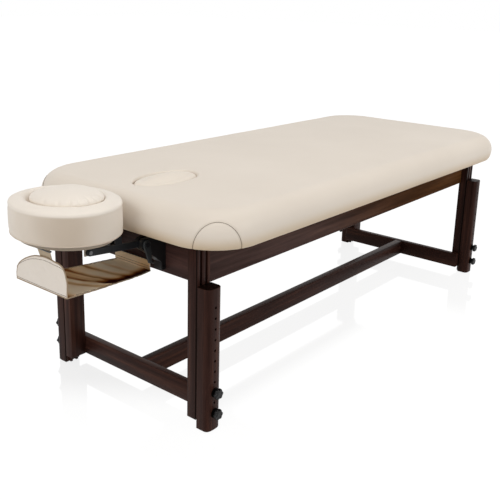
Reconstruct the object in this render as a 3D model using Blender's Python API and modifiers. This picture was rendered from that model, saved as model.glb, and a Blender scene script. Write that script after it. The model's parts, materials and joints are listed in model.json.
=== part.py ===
"""Massage table: padded top on a wooden frame, telescoping legs, face cradle and arm sling."""

import math

import bmesh
import bpy
from mathutils import Matrix, Vector

# General fits, in metres
CLEARANCE = 0.0003
SOFT_GAP = 0.0006
WOOD_BEVEL = 0.0015
ROUND_STEPS = 12

# Padded top
PAD_LENGTH = 1.805
PAD_WIDTH = 0.81
PAD_THICKNESS = 0.101
PAD_CROWN = 0.004
PAD_CORNER_RADIUS = 0.15
PAD_TOP_ROUND = 0.056
PAD_BULGE_HEIGHT = 0.040
PAD_BOTTOM_ROUND = 0.016
BOARD_THICKNESS = 0.012
BOARD_INSET = 0.024

# Face hole in the padded top, and its plug
FACE_HOLE_X_FROM_HEAD = 0.218
FACE_HOLE_HALF_LENGTH = 0.115
FACE_HOLE_HALF_WIDTH = 0.066
FACE_HOLE_LEDGE = 0.010
PLUG_CROWN = 0.008
PLUG_EDGE_ROUND = 0.014

# Apron under the board
RAIL_BOTTOM_Z = 0.404
RAIL_HEIGHT = 0.1297
RAIL_THICKNESS = 0.024
RAIL_SETBACK = 0.0256
RAIL_END_INSET = 0.0105
END_RAIL_SETBACK = 0.0492
SLAT_HEIGHT = 0.050
SLAT_THICKNESS = 0.024
SLAT_COUNT = 3
CORNER_BLOCK_LEG = 0.050
CORNER_BLOCK_HEIGHT = 0.090

# Fixed posts and the sliding legs outside them
HEAD_OVERHANG = 0.0495
FOOT_OVERHANG = 0.0045
POST_SIDE_INSET = 0.1185
POST_WIDTH = 0.055
POST_THICKNESS = 0.032
POST_BOTTOM_Z = 0.027
POST_EDGE_BEVEL = 0.0012
GROOVE_OFFSET = 0.0105
GROOVE_WIDTH = 0.0086
GROOVE_DEPTH = 0.008
LEG_TOP_Z = 0.420
LEG_SHOULDER = 0.026
LEG_BULGE = 0.0185
LEG_ROUND_POWER = 2.8
LEG_ARC_STEPS = 17
LEG_HOLE_RADIUS = 0.004
LEG_HOLE_PITCH = 0.031
LEG_HOLE_COUNT = 11
LEG_LOWEST_HOLE_Z = 0.056
KNOB_HOLES = {"upper": 2, "lower": 0}
GLIDE_RADIUS = 0.016
GLIDE_THICKNESS = 0.003

# Star knobs
KNOB_RADIUS = 0.0158
KNOB_LOBES = 6
KNOB_LOBE_DEPTH = 0.0022
KNOB_POINTS_PER_LOBE = 6
KNOB_THICKNESS = 0.012
KNOB_EDGE_BEVEL = 0.0025
KNOB_NECK_RADIUS = 0.0075
KNOB_NECK_LENGTH = 0.008

# Lower crossbars and the centre stretcher
CROSSBAR_HEIGHT = 0.060
CROSSBAR_THICKNESS = 0.024
CROSSBAR_END_INSET = 0.001
STRETCHER_THICKNESS = 0.030

# Face cushion and its platform
CUSHION_LENGTH = 0.274
CUSHION_WIDTH = 0.315
CUSHION_GAP = 0.005
CUSHION_RING_WIDTH = 0.051
CUSHION_BOTTOM_Z = 0.555
CUSHION_THICKNESS = 0.079
CUSHION_CROWN = 0.006
CUSHION_EDGE_ROUND = 0.010
CUSHION_SIDE_DRAW = 0.004
CUSHION_PLUG_CROWN = 0.014
CUSHION_STEPS = 40
PLATFORM_INSET = 0.020
PLATFORM_THICKNESS = 0.010
PLATFORM_HOLE_INSET = 0.010
STRIP_THICKNESS = 0.0014
STRIP_WIDTH = 0.022
STRIP_LENGTH = 0.070
STRIP_MARGIN = 0.0025

# Cradle brackets, arms and lever
ARM_UNDER_RING = 0.0105
BRACKET_DEPTH = 0.0415
BRACKET_WIDTH = 0.030
BRACKET_BOTTOM_Z = 0.416
BRACKET_TOP_Z = 0.515
NOSE_RADIUS = 0.017
PIVOT_OUT = 0.0747
PIVOT_Z = 0.506
SLOT_BACK = 0.024
ARM_THICKNESS = 0.008
ARM_HEIGHT = 0.019
ARM_LENGTH = 0.178
ARM_RISE = 0.0175
PIN_RADIUS = 0.004
PIN_HEAD_RADIUS = 0.007
PIN_HEAD_HEIGHT = 0.003
RIVET_RADIUS = 0.003
RIVET_HEAD_RADIUS = 0.0055
RIVET_HEAD_HEIGHT = 0.002
LUG_THICKNESS = 0.004
LUG_WIDTH = 0.022
TAB_SHARE = 0.47
ROD_RADIUS = 0.011
ROD_Z = 0.470
ROD_IN_BRACKET = 0.030
ROD_BEYOND_RAIL = 0.090
BUSH_WALL = 0.002
BUSH_FLANGE_RADIUS = 0.017
BUSH_FLANGE_THICKNESS = 0.004
BUSH_TAIL = 0.016
LEVER_LENGTH = 0.056
LEVER_WIDTH = 0.012
LEVER_THICKNESS = 0.006
LEVER_BOSS_RADIUS = 0.0125

# Arm sling, the bar it hangs on and its strap
SLING_THICKNESS = 0.003
SLING_HEM_HALF_WIDTH = 0.0735
SLING_FOLD_HALF_WIDTH = 0.105
SLING_HEM_Z = 0.432
SLING_HEM_DROP = 0.030
SLING_FOLD_X_FROM_PIVOT = 0.251
SLING_FOLD_Z = 0.420
SLING_PANEL_TOP_Z = 0.512
SLING_PANEL_LEAN = 0.006
SLING_PANEL_CORNER = 0.058
SLING_SAG = 0.012
SLING_WRINKLE = 0.003
SLING_STEPS_ALONG = 34
SLING_STEPS_ACROSS = 12
BAR_RADIUS = 0.004
BAR_Z = 0.427
STRAP_WIDTH = 0.046
STRAP_THICKNESS = 0.003
STRAP_OVERLAP = 0.018
STRAP_GAP = 0.0009
BUCKLE_HEIGHT = 0.010
BUCKLE_BORDER = 0.005
BUCKLE_DEPTH = 0.008

# Places worked out from the sizes above
TOTAL_LENGTH = PAD_LENGTH + CUSHION_GAP + CUSHION_LENGTH
PAD_FOOT_X = TOTAL_LENGTH / 2
PAD_HEAD_X = PAD_FOOT_X - PAD_LENGTH
PAD_CENTRE_X = (PAD_HEAD_X + PAD_FOOT_X) / 2
CUSHION_X = CUSHION_LENGTH / 2 - TOTAL_LENGTH / 2
FACE_HOLE_X = PAD_HEAD_X + FACE_HOLE_X_FROM_HEAD
BOARD_BOTTOM_Z = RAIL_BOTTOM_Z + RAIL_HEIGHT + CLEARANCE
BOARD_TOP_Z = BOARD_BOTTOM_Z + BOARD_THICKNESS
PAD_TOP_Z = BOARD_BOTTOM_Z + PAD_THICKNESS
POST_TOP_Z = BOARD_BOTTOM_Z - CLEARANCE
POST_OUTER_Y = PAD_WIDTH / 2 - POST_SIDE_INSET
HEAD_POST_X = PAD_HEAD_X + HEAD_OVERHANG + POST_WIDTH / 2
FOOT_POST_X = PAD_FOOT_X - FOOT_OVERHANG - POST_WIDTH / 2
RAIL_OUTER_Y = POST_OUTER_Y - RAIL_SETBACK
RAIL_INNER_Y = RAIL_OUTER_Y - RAIL_THICKNESS
RAIL_START_X = HEAD_POST_X - POST_WIDTH / 2 + RAIL_END_INSET
RAIL_STOP_X = FOOT_POST_X + POST_WIDTH / 2 - RAIL_END_INSET
HEAD_RAIL_X = HEAD_POST_X - POST_WIDTH / 2 + END_RAIL_SETBACK
FOOT_RAIL_X = FOOT_POST_X + POST_WIDTH / 2 - END_RAIL_SETBACK
HEAD_BAR_X = HEAD_POST_X + POST_WIDTH / 2 + CLEARANCE
FOOT_BAR_X = FOOT_POST_X - POST_WIDTH / 2 - CLEARANCE
CROSSBAR_TOP_Z = POST_BOTTOM_Z + CROSSBAR_HEIGHT
LEG_BOTTOM_Z = GLIDE_THICKNESS + CLEARANCE
LEG_FACE_Y = CLEARANCE + LEG_SHOULDER + LEG_BULGE
PLATFORM_HALF_X = CUSHION_LENGTH / 2 - PLATFORM_INSET
PLATFORM_HALF_Y = CUSHION_WIDTH / 2 - PLATFORM_INSET
PLATFORM_HOLE_X = CUSHION_LENGTH / 2 - CUSHION_RING_WIDTH - PLATFORM_HOLE_INSET
PLATFORM_HOLE_Y = CUSHION_WIDTH / 2 - CUSHION_RING_WIDTH - PLATFORM_HOLE_INSET
STRIP_Y = PLATFORM_HALF_Y - STRIP_MARGIN - STRIP_WIDTH / 2
CRADLE_Y = PLATFORM_HOLE_Y + ARM_UNDER_RING
PIVOT_X = HEAD_RAIL_X - PIVOT_OUT
BRACKET_BACK_X = HEAD_RAIL_X - CLEARANCE
BRACKET_FRONT_X = BRACKET_BACK_X - BRACKET_DEPTH
PLATFORM_TOP_Z = CUSHION_BOTTOM_Z - STRIP_THICKNESS - 2 * CLEARANCE
PLATFORM_BOTTOM_Z = PLATFORM_TOP_Z - PLATFORM_THICKNESS
ARM_END_X = PIVOT_X - ARM_LENGTH
ARM_END_Z = PIVOT_Z + ARM_RISE
BAR_X = HEAD_RAIL_X - 2 * BAR_RADIUS
SLING_HEM_X = BAR_X - BAR_RADIUS - CLEARANCE - SLING_THICKNESS / 2
SLING_FOLD_X = PIVOT_X - SLING_FOLD_X_FROM_PIVOT
STRAP_X = SLING_FOLD_X - SLING_PANEL_LEAN - SLING_THICKNESS / 2 - CLEARANCE - STRAP_THICKNESS / 2

ENDS = {"head": 1, "foot": -1}
SIDES = {"near": -1, "far": 1}
PART_NAME = "massage_table"


def clear_scene():
    for obj in list(bpy.data.objects):
        bpy.data.objects.remove(obj, do_unlink=True)


def add_collection(name):
    collection = bpy.data.collections.new(name)
    bpy.context.scene.collection.children.link(collection)
    return collection


def add_material(name, colour, roughness, metallic=0.0):
    material = bpy.data.materials.new(name)
    material.use_nodes = True
    shader = material.node_tree.nodes["Principled BSDF"]
    shader.inputs["Base Color"].default_value = (*colour, 1.0)
    shader.inputs["Roughness"].default_value = roughness
    shader.inputs["Metallic"].default_value = metallic
    material.diffuse_color = (*colour, 1.0)
    return material


clear_scene()
PARTS = add_collection(PART_NAME)
CUTTERS = add_collection("cutters")
WOOD = add_material("dark_wood", (0.045, 0.025, 0.020), 0.42)
PLYWOOD = add_material("plywood", (0.50, 0.36, 0.22), 0.70)
VINYL = add_material("cream_vinyl", (0.76, 0.70, 0.62), 0.45)
STRAP = add_material("tan_webbing", (0.62, 0.52, 0.40), 0.65)
BLACK = add_material("black_plastic", (0.012, 0.012, 0.014), 0.40)
STEEL = add_material("black_steel", (0.020, 0.020, 0.022), 0.35, 0.6)
ZINC = add_material("zinc", (0.55, 0.55, 0.56), 0.35, 1.0)
GREY = add_material("grey_plastic", (0.20, 0.21, 0.23), 0.40)


def place(name, mesh, material, location=(0, 0, 0), rotation=(0, 0, 0), smooth=True):
    obj = bpy.data.objects.new(name, mesh)
    obj.location = location
    obj.rotation_euler = rotation
    mesh.materials.clear()
    mesh.materials.append(material)
    if smooth:
        mesh.shade_smooth()
        mesh.set_sharp_from_angle(angle=math.radians(35))
    PARTS.objects.link(obj)
    return obj


def mesh_from(bm, name):
    bmesh.ops.recalc_face_normals(bm, faces=bm.faces)
    mesh = bpy.data.meshes.new(name)
    bm.to_mesh(mesh)
    bm.free()
    return mesh


def add_bevel(obj, width, segments=2):
    bevel = obj.modifiers.new("rounded_edges", "BEVEL")
    bevel.width = width
    bevel.segments = segments
    bevel.limit_method = "ANGLE"


def box(name, low, high, material, bevel=0.0):
    low, high = Vector(low), Vector(high)
    bm = bmesh.new()
    bmesh.ops.create_cube(bm, size=1.0)
    bmesh.ops.scale(bm, vec=high - low, verts=bm.verts)
    obj = place(name, mesh_from(bm, name), material, location=(low + high) / 2, smooth=False)
    if bevel:
        add_bevel(obj, bevel)
    return obj


def turned_group(bm, profile, matrices, steps=ROUND_STEPS, ring=False):
    """Turn (radius, height) points about local Z once for each matrix."""
    for matrix in matrices:
        verts = [bm.verts.new((radius, 0, height)) for radius, height in profile]
        edges = [bm.edges.new(pair) for pair in zip(verts, verts[1:])]
        if ring:
            edges.append(bm.edges.new((verts[-1], verts[0])))
        spun = bmesh.ops.spin(bm, geom=verts + edges, cent=(0, 0, 0), axis=(0, 0, 1),
                              angle=2 * math.pi, steps=steps, use_merge=True)
        turned = {vert for item in spun["geom_last"] for vert in getattr(item, "verts", [item])}
        stack = list(turned | set(verts))
        body = set(stack)
        while stack:
            for edge in stack.pop().link_edges:
                for vert in edge.verts:
                    if vert not in body:
                        body.add(vert)
                        stack.append(vert)
        bmesh.ops.remove_doubles(bm, verts=list(body), dist=1e-6)
        body = [vert for vert in body if vert.is_valid]
        bmesh.ops.transform(bm, matrix=matrix, verts=body)


def turned(name, profile, matrices, material, steps=ROUND_STEPS, ring=False):
    bm = bmesh.new()
    turned_group(bm, profile, matrices, steps, ring)
    return place(name, mesh_from(bm, name), material)


def rod_profile(radius, start, stop):
    return [(0, stop), (radius, stop), (radius, start), (0, start)]


def headed_profile(radius, length, head_radius, head_height):
    """A bolt along local -Z with its head above zero."""
    return [(0, head_height), (head_radius, head_height), (head_radius, 0),
            (radius, 0), (radius, -length), (0, -length)]


def along(axis, location):
    """Matrix whose local Z lies along the given axis, at the given place."""
    turn = Vector((0, 0, 1)).rotation_difference(Vector(axis)).to_matrix().to_4x4()
    return Matrix.Translation(location) @ turn


def make_cutter(name, bm):
    cutter = bpy.data.objects.new(name, mesh_from(bm, name))
    cutter.hide_render = True
    cutter.display_type = "WIRE"
    CUTTERS.objects.link(cutter)
    return cutter


def cut(obj, cutter):
    boolean = obj.modifiers.new(cutter.name, "BOOLEAN")
    boolean.operation = "DIFFERENCE"
    boolean.object = cutter
    boolean.solver = "EXACT"


def join(obj, piece):
    boolean = obj.modifiers.new(piece.name, "BOOLEAN")
    boolean.operation = "UNION"
    boolean.object = piece
    boolean.solver = "EXACT"


def drill(obj, name, radius, start, stop, matrices, steps=ROUND_STEPS):
    bm = bmesh.new()
    turned_group(bm, rod_profile(radius, start, stop), matrices, steps)
    cut(obj, make_cutter(name, bm))


def cut_box(obj, name, low, high):
    low, high = Vector(low), Vector(high)
    bm = bmesh.new()
    bmesh.ops.create_cube(bm, size=1.0)
    bmesh.ops.scale(bm, vec=high - low, verts=bm.verts)
    bmesh.ops.translate(bm, vec=(low + high) / 2, verts=bm.verts)
    cut(obj, make_cutter(name, bm))


def arc(centre, radius, start, stop, steps):
    """Points on an arc, angles in degrees, both ends included."""
    points = []
    for step in range(steps + 1):
        angle = math.radians(start + (stop - start) * step / steps)
        points.append((centre[0] + radius * math.cos(angle), centre[1] + radius * math.sin(angle)))
    return points


def rounded_rectangle(length, width, radius, steps=7):
    x, y = length / 2 - radius, width / 2 - radius
    return (arc((x, y), radius, 0, 90, steps) + arc((-x, y), radius, 90, 180, steps)
            + arc((-x, -y), radius, 180, 270, steps) + arc((x, -y), radius, 270, 360, steps))


def ellipse(half_x, half_y, steps=CUSHION_STEPS):
    return [(half_x * math.cos(2 * math.pi * step / steps), half_y * math.sin(2 * math.pi * step / steps))
            for step in range(steps)]


def prism_mesh(name, loops, depth, bevel=0.0):
    """Flat outlines filled and extruded along Z, centred on zero, as a welded mesh."""
    curve = bpy.data.curves.new(name, "CURVE")
    curve.dimensions = "2D"
    curve.fill_mode = "BOTH"
    curve.extrude = depth / 2 - bevel
    curve.bevel_depth = bevel
    curve.bevel_resolution = 0
    curve.offset = -bevel
    for loop in loops:
        spline = curve.splines.new("POLY")
        spline.points.add(len(loop) - 1)
        for point, (x, y) in zip(spline.points, loop):
            point.co = (x, y, 0, 1)
        spline.use_cyclic_u = True
    holder = bpy.data.objects.new(name + "_outline", curve)
    PARTS.objects.link(holder)
    graph = bpy.context.evaluated_depsgraph_get()
    mesh = bpy.data.meshes.new_from_object(holder.evaluated_get(graph))
    bpy.data.objects.remove(holder, do_unlink=True)
    bm = bmesh.new()
    bm.from_mesh(mesh)
    bmesh.ops.remove_doubles(bm, verts=bm.verts, dist=1e-6)
    if len(loops) == 1:
        caps = [face for face in bm.faces if abs(face.calc_center_median().z) > depth / 2 - 1e-6]
        bmesh.ops.delete(bm, geom=caps, context="FACES")
        bmesh.ops.holes_fill(bm, edges=[edge for edge in bm.edges if edge.is_boundary], sides=0)
    return mesh_from(bm, name)


def prism_cutter(name, loop, low, high, x):
    mesh = prism_mesh(name, [loop], high - low)
    bm = bmesh.new()
    bm.from_mesh(mesh)
    bmesh.ops.translate(bm, vec=(x, 0, (low + high) / 2), verts=bm.verts)
    return make_cutter(name, bm)


def loft(name, rings, material, location, closed=False):
    """Skin stacked rings of equal point count; closed joins the last ring to the first."""
    bm = bmesh.new()
    loops = [[bm.verts.new(point) for point in ring] for ring in rings]
    pairs = list(zip(loops, loops[1:]))
    if closed:
        pairs.append((loops[-1], loops[0]))
    for lower, upper in pairs:
        for index in range(len(lower)):
            after = (index + 1) % len(lower)
            bm.faces.new((lower[index], lower[after], upper[after], upper[index]))
    if not closed:
        bm.faces.new(loops[0])
        bm.faces.new(loops[-1])
    return place(name, mesh_from(bm, name), material, location)


def quarter(start, stop, steps, upward):
    """Inset and height along a quarter of an ellipse between two profile points."""
    points = []
    for step in range(1, steps + 1):
        angle = math.pi / 2 * step / steps
        if upward:
            points.append((start[0] + (stop[0] - start[0]) * (1 - math.cos(angle)),
                           start[1] + (stop[1] - start[1]) * math.sin(angle)))
        else:
            points.append((start[0] + (stop[0] - start[0]) * math.sin(angle),
                           start[1] + (stop[1] - start[1]) * (1 - math.cos(angle))))
    return points


def pad_profile():
    """Inset from the pad's outline, and height, from the underside to the crown."""
    bulge_z = BOARD_BOTTOM_Z + PAD_BULGE_HEIGHT
    points = [(PAD_BOTTOM_ROUND, BOARD_BOTTOM_Z)]
    points += quarter(points[-1], (0.0, bulge_z), 4, upward=False)
    points += quarter(points[-1], (PAD_TOP_ROUND, PAD_TOP_Z), 6, upward=True)
    reach = PAD_WIDTH / 2
    for share in (0.30, 0.55, 0.85):
        inset = PAD_TOP_ROUND + (reach - PAD_TOP_ROUND) * share
        points.append((inset, PAD_TOP_Z + PAD_CROWN * math.sin(share * math.pi / 2)))
    return points


def build_pad():
    rings = []
    for inset, height in pad_profile():
        radius = max(PAD_CORNER_RADIUS - inset * 0.6, PAD_WIDTH / 2 - inset - PAD_WIDTH * 0.36, 0.02)
        radius = min(radius, PAD_WIDTH / 2 - inset - 0.001)
        outline = rounded_rectangle(PAD_LENGTH - 2 * inset, PAD_WIDTH - 2 * inset, radius)
        rings.append([(x, y, height) for x, y in outline])
    pad = loft("massage_pad", rings, VINYL, (PAD_CENTRE_X, 0, 0))
    recess = rounded_rectangle(PAD_LENGTH - 2 * (BOARD_INSET - CLEARANCE),
                               PAD_WIDTH - 2 * (BOARD_INSET - CLEARANCE),
                               PAD_CORNER_RADIUS - BOARD_INSET + CLEARANCE)
    cut(pad, prism_cutter("board_recess", recess, BOARD_BOTTOM_Z - 0.05, BOARD_TOP_Z + CLEARANCE, PAD_CENTRE_X))
    hole = ellipse(FACE_HOLE_HALF_LENGTH, FACE_HOLE_HALF_WIDTH)
    cut(pad, prism_cutter("face_hole", hole, BOARD_BOTTOM_Z, PAD_TOP_Z + 0.05, FACE_HOLE_X))


def build_board():
    outline = rounded_rectangle(PAD_LENGTH - 2 * BOARD_INSET, PAD_WIDTH - 2 * BOARD_INSET,
                                PAD_CORNER_RADIUS - BOARD_INSET)
    hole = [(FACE_HOLE_X - PAD_CENTRE_X + x, y) for x, y in
            ellipse(FACE_HOLE_HALF_LENGTH - FACE_HOLE_LEDGE, FACE_HOLE_HALF_WIDTH - FACE_HOLE_LEDGE)]
    mesh = prism_mesh("deck_board", [outline, hole], BOARD_THICKNESS)
    place("deck_board", mesh, PLYWOOD, (PAD_CENTRE_X, 0, BOARD_BOTTOM_Z + BOARD_THICKNESS / 2))


def crowned_plug(name, half_x, half_y, bottom, rim, crown, edge_round, x):
    """A stuffed oval plug: straight sides, rounded rim and a domed top."""
    profile = [(0.0, bottom), (0.0, rim - edge_round)]
    profile += quarter(profile[-1], (edge_round, rim), 4, upward=True)
    for share in (0.25, 0.55, 0.85):
        inset = edge_round + (half_y - edge_round) * share
        profile.append((inset, rim + crown * math.sin(share * math.pi / 2)))
    rings = []
    for inset, height in profile:
        rings.append([(px, py, height - bottom) for px, py in ellipse(half_x - inset, half_y - inset)])
    return loft(name, rings, VINYL, (x, 0, bottom))


def build_pad_plug():
    crowned_plug("face_hole_plug", FACE_HOLE_HALF_LENGTH - SOFT_GAP, FACE_HOLE_HALF_WIDTH - SOFT_GAP,
                 BOARD_TOP_Z + CLEARANCE, PAD_TOP_Z + PAD_CROWN, PLUG_CROWN, PLUG_EDGE_ROUND, FACE_HOLE_X)


def post_xs():
    return {"head": HEAD_POST_X, "foot": FOOT_POST_X}


def build_rails():
    for side, out in SIDES.items():
        low_y, high_y = sorted((out * RAIL_INNER_Y, out * RAIL_OUTER_Y))
        box("side_rail_" + side, (RAIL_START_X, low_y, RAIL_BOTTOM_Z),
            (RAIL_STOP_X, high_y, RAIL_BOTTOM_Z + RAIL_HEIGHT), WOOD, WOOD_BEVEL)
    span = RAIL_INNER_Y - CLEARANCE
    for end, inward in ENDS.items():
        outer = HEAD_RAIL_X if end == "head" else FOOT_RAIL_X
        low_x, high_x = sorted((outer, outer + inward * RAIL_THICKNESS))
        rail = box(end + "_rail", (low_x, -span, RAIL_BOTTOM_Z),
                   (high_x, span, RAIL_BOTTOM_Z + RAIL_HEIGHT), WOOD, WOOD_BEVEL)
        if end == "head":
            sockets = [along((1, 0, 0), (outer, y, ROD_Z)) for y in cradle_ys()]
            drill(rail, "socket_holes", ROD_RADIUS + 2 * CLEARANCE + BUSH_WALL, -0.05, 0.05, sockets, 20)


def build_corner_blocks():
    inner_y = RAIL_INNER_Y - 2 * CLEARANCE
    middle_z = RAIL_BOTTOM_Z + RAIL_HEIGHT - CORNER_BLOCK_HEIGHT / 2
    for end, inward in ENDS.items():
        outer = HEAD_RAIL_X if end == "head" else FOOT_RAIL_X
        corner_x = outer + inward * (RAIL_THICKNESS + CLEARANCE)
        for side, out in SIDES.items():
            name = "corner_block_%s_%s" % (end, side)
            triangle = [(0, 0), (inward * CORNER_BLOCK_LEG, 0), (0, -out * CORNER_BLOCK_LEG)]
            mesh = prism_mesh(name, [triangle], CORNER_BLOCK_HEIGHT)
            place(name, mesh, WOOD, (corner_x, out * inner_y, middle_z), smooth=False)

def build_slats():
    span = RAIL_INNER_Y - CLEARANCE
    top = RAIL_BOTTOM_Z + RAIL_HEIGHT
    for number in range(1, SLAT_COUNT + 1):
        x = HEAD_RAIL_X + (FOOT_RAIL_X - HEAD_RAIL_X) * number / (SLAT_COUNT + 1)
        box("deck_slat_%d" % number, (x - SLAT_THICKNESS / 2, -span, top - SLAT_HEIGHT),
            (x + SLAT_THICKNESS / 2, span, top), WOOD, WOOD_BEVEL)


def post_outline():
    half = POST_WIDTH / 2
    points = [(-half, -POST_THICKNESS), (half, -POST_THICKNESS), (half, 0)]
    for centre in (GROOVE_OFFSET, -GROOVE_OFFSET):
        right, left = centre + GROOVE_WIDTH / 2, centre - GROOVE_WIDTH / 2
        points += [(right, 0), (right, -GROOVE_DEPTH), (left, -GROOVE_DEPTH), (left, 0)]
    return points + [(-half, 0)]


def leg_outline():
    half = POST_WIDTH / 2
    tongue = GROOVE_WIDTH / 2 - CLEARANCE
    depth = GROOVE_DEPTH - CLEARANCE
    points = [(-half, CLEARANCE)]
    for centre in (-GROOVE_OFFSET, GROOVE_OFFSET):
        points += [(centre - tongue, CLEARANCE), (centre - tongue, -depth),
                   (centre + tongue, -depth), (centre + tongue, CLEARANCE)]
    points.append((half, CLEARANCE))
    for step in range(LEG_ARC_STEPS + 1):
        angle = math.pi * step / LEG_ARC_STEPS
        across = math.copysign(abs(math.cos(angle)) ** (2 / LEG_ROUND_POWER), math.cos(angle))
        out = max(math.sin(angle), 0.0) ** (2 / LEG_ROUND_POWER)
        points.append((half * across, CLEARANCE + LEG_SHOULDER + LEG_BULGE * out))
    return points


def side_turn(out):
    return (0, 0, 0 if out > 0 else math.pi)


def hole_height(index):
    return LEG_LOWEST_HOLE_Z + index * LEG_HOLE_PITCH


def build_posts():
    height = POST_TOP_Z - POST_BOTTOM_Z
    for end, inward in ENDS.items():
        post_x = post_xs()[end]
        for side, out in SIDES.items():
            name = "post_%s_%s" % (end, side)
            mesh = prism_mesh(name, [post_outline()], height, POST_EDGE_BEVEL)
            post = place(name, mesh, WOOD, (post_x, out * POST_OUTER_Y, POST_BOTTOM_Z + height / 2),
                         side_turn(out), smooth=False)
            inner = out * (POST_OUTER_Y - POST_THICKNESS - 0.01)
            housing = out * (RAIL_OUTER_Y + CLEARANCE)
            rail_end = RAIL_START_X - CLEARANCE if end == "head" else RAIL_STOP_X + CLEARANCE
            low_x, high_x = sorted((rail_end, post_x + inward * POST_WIDTH))
            low_y, high_y = sorted((inner, housing))
            cut_box(post, name + "_housing", (low_x, low_y, RAIL_BOTTOM_Z - CLEARANCE),
                    (high_x, high_y, POST_TOP_Z + 0.01))


def build_legs():
    height = LEG_TOP_Z - LEG_BOTTOM_Z
    for end, post_x in post_xs().items():
        for side, out in SIDES.items():
            label = "%s_%s" % (end, side)
            mesh = prism_mesh("leg_" + label, [leg_outline()], height, POST_EDGE_BEVEL)
            leg = place("leg_" + label, mesh, WOOD, (post_x, out * POST_OUTER_Y, LEG_BOTTOM_Z + height / 2),
                        side_turn(out))
            holes = [along((0, out, 0), (post_x, out * POST_OUTER_Y, hole_height(index)))
                     for index in range(LEG_HOLE_COUNT)]
            drill(leg, "leg_%s_holes" % label, LEG_HOLE_RADIUS, -0.02, LEG_FACE_Y + 0.01, holes)
            glide_y = out * (POST_OUTER_Y + (LEG_SHOULDER + LEG_BULGE) / 2)
            turned("glide_" + label, rod_profile(GLIDE_RADIUS, 0, GLIDE_THICKNESS),
                   [Matrix.Translation((post_x, glide_y, 0))], BLACK, 24)


def knob_outline():
    count = KNOB_LOBES * KNOB_POINTS_PER_LOBE
    points = []
    for step in range(count):
        angle = 2 * math.pi * step / count
        radius = KNOB_RADIUS - KNOB_LOBE_DEPTH * (1 - math.cos(KNOB_LOBES * angle)) / 2
        points.append((radius * math.cos(angle), radius * math.sin(angle)))
    return points


def build_knobs():
    stem_length = LEG_FACE_Y - CLEARANCE
    head_start = CLEARANCE + KNOB_NECK_LENGTH
    stem = [(0, head_start + KNOB_THICKNESS / 2), (KNOB_NECK_RADIUS, head_start + KNOB_THICKNESS / 2),
            (KNOB_NECK_RADIUS, CLEARANCE), (LEG_HOLE_RADIUS - CLEARANCE, CLEARANCE),
            (LEG_HOLE_RADIUS - CLEARANCE, -stem_length), (0, -stem_length)]
    for end, post_x in post_xs().items():
        for side, out in SIDES.items():
            for level, index in KNOB_HOLES.items():
                name = "knob_%s_%s_%s" % (end, side, level)
                seat = (post_x, out * (POST_OUTER_Y + LEG_FACE_Y), hole_height(index))
                mesh = prism_mesh(name, [knob_outline()], KNOB_THICKNESS, KNOB_EDGE_BEVEL)
                mesh.transform(Matrix.Translation((0, 0, head_start + KNOB_THICKNESS / 2)))
                knob = place(name, mesh, BLACK, seat, (-out * math.pi / 2, 0, 0))
                bm = bmesh.new()
                turned_group(bm, stem, [along((0, out, 0), seat)])
                join(knob, make_cutter(name + "_stem", bm))


def build_lower_frame():
    end_y = POST_OUTER_Y - CROSSBAR_END_INSET
    faces = {"head": HEAD_BAR_X, "foot": FOOT_BAR_X}
    inner = {}
    for end, inward in ENDS.items():
        inner[end] = faces[end] + inward * CROSSBAR_THICKNESS
        low_x, high_x = sorted((faces[end], inner[end]))
        box("crossbar_" + end, (low_x, -end_y, POST_BOTTOM_Z), (high_x, end_y, CROSSBAR_TOP_Z), WOOD, WOOD_BEVEL)
    box("stretcher", (inner["head"] + CLEARANCE, -STRETCHER_THICKNESS / 2, POST_BOTTOM_Z),
        (inner["foot"] - CLEARANCE, STRETCHER_THICKNESS / 2, CROSSBAR_TOP_Z), WOOD, WOOD_BEVEL)

def cradle_ys():
    return [out * CRADLE_Y for out in SIDES.values()]


def build_sockets():
    bore = ROD_RADIUS + CLEARANCE
    outer = bore + BUSH_WALL
    flange = RAIL_THICKNESS + CLEARANCE
    tail = flange + BUSH_TAIL
    ring = [(bore, tail), (outer, tail), (outer, flange + BUSH_FLANGE_THICKNESS),
            (BUSH_FLANGE_RADIUS, flange + BUSH_FLANGE_THICKNESS), (BUSH_FLANGE_RADIUS, flange),
            (outer, flange), (outer, 0), (bore, 0)]
    for side, out in SIDES.items():
        turned("socket_bush_" + side, ring,
               [along((1, 0, 0), (HEAD_RAIL_X, out * CRADLE_Y, ROD_Z))], BLACK, 20, ring=True)


def bracket_outline():
    """Side view in X and Z: back block on the rail, round nose about the pivot, foot for the bar."""
    foot_top = BRACKET_BOTTOM_Z + 2 * NOSE_RADIUS
    foot_front = BAR_X - 2.2 * BAR_RADIUS
    nose = arc((PIVOT_X, PIVOT_Z), NOSE_RADIUS, 90, 250, 8)
    return ([(BRACKET_BACK_X, BRACKET_BOTTOM_Z), (BRACKET_BACK_X, BRACKET_TOP_Z),
             (BRACKET_FRONT_X + 0.008, BRACKET_TOP_Z + 0.004)] + nose
            + [(BRACKET_FRONT_X, foot_top + 0.012), (foot_front, foot_top - 0.010),
               (foot_front, BRACKET_BOTTOM_Z)])


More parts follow.
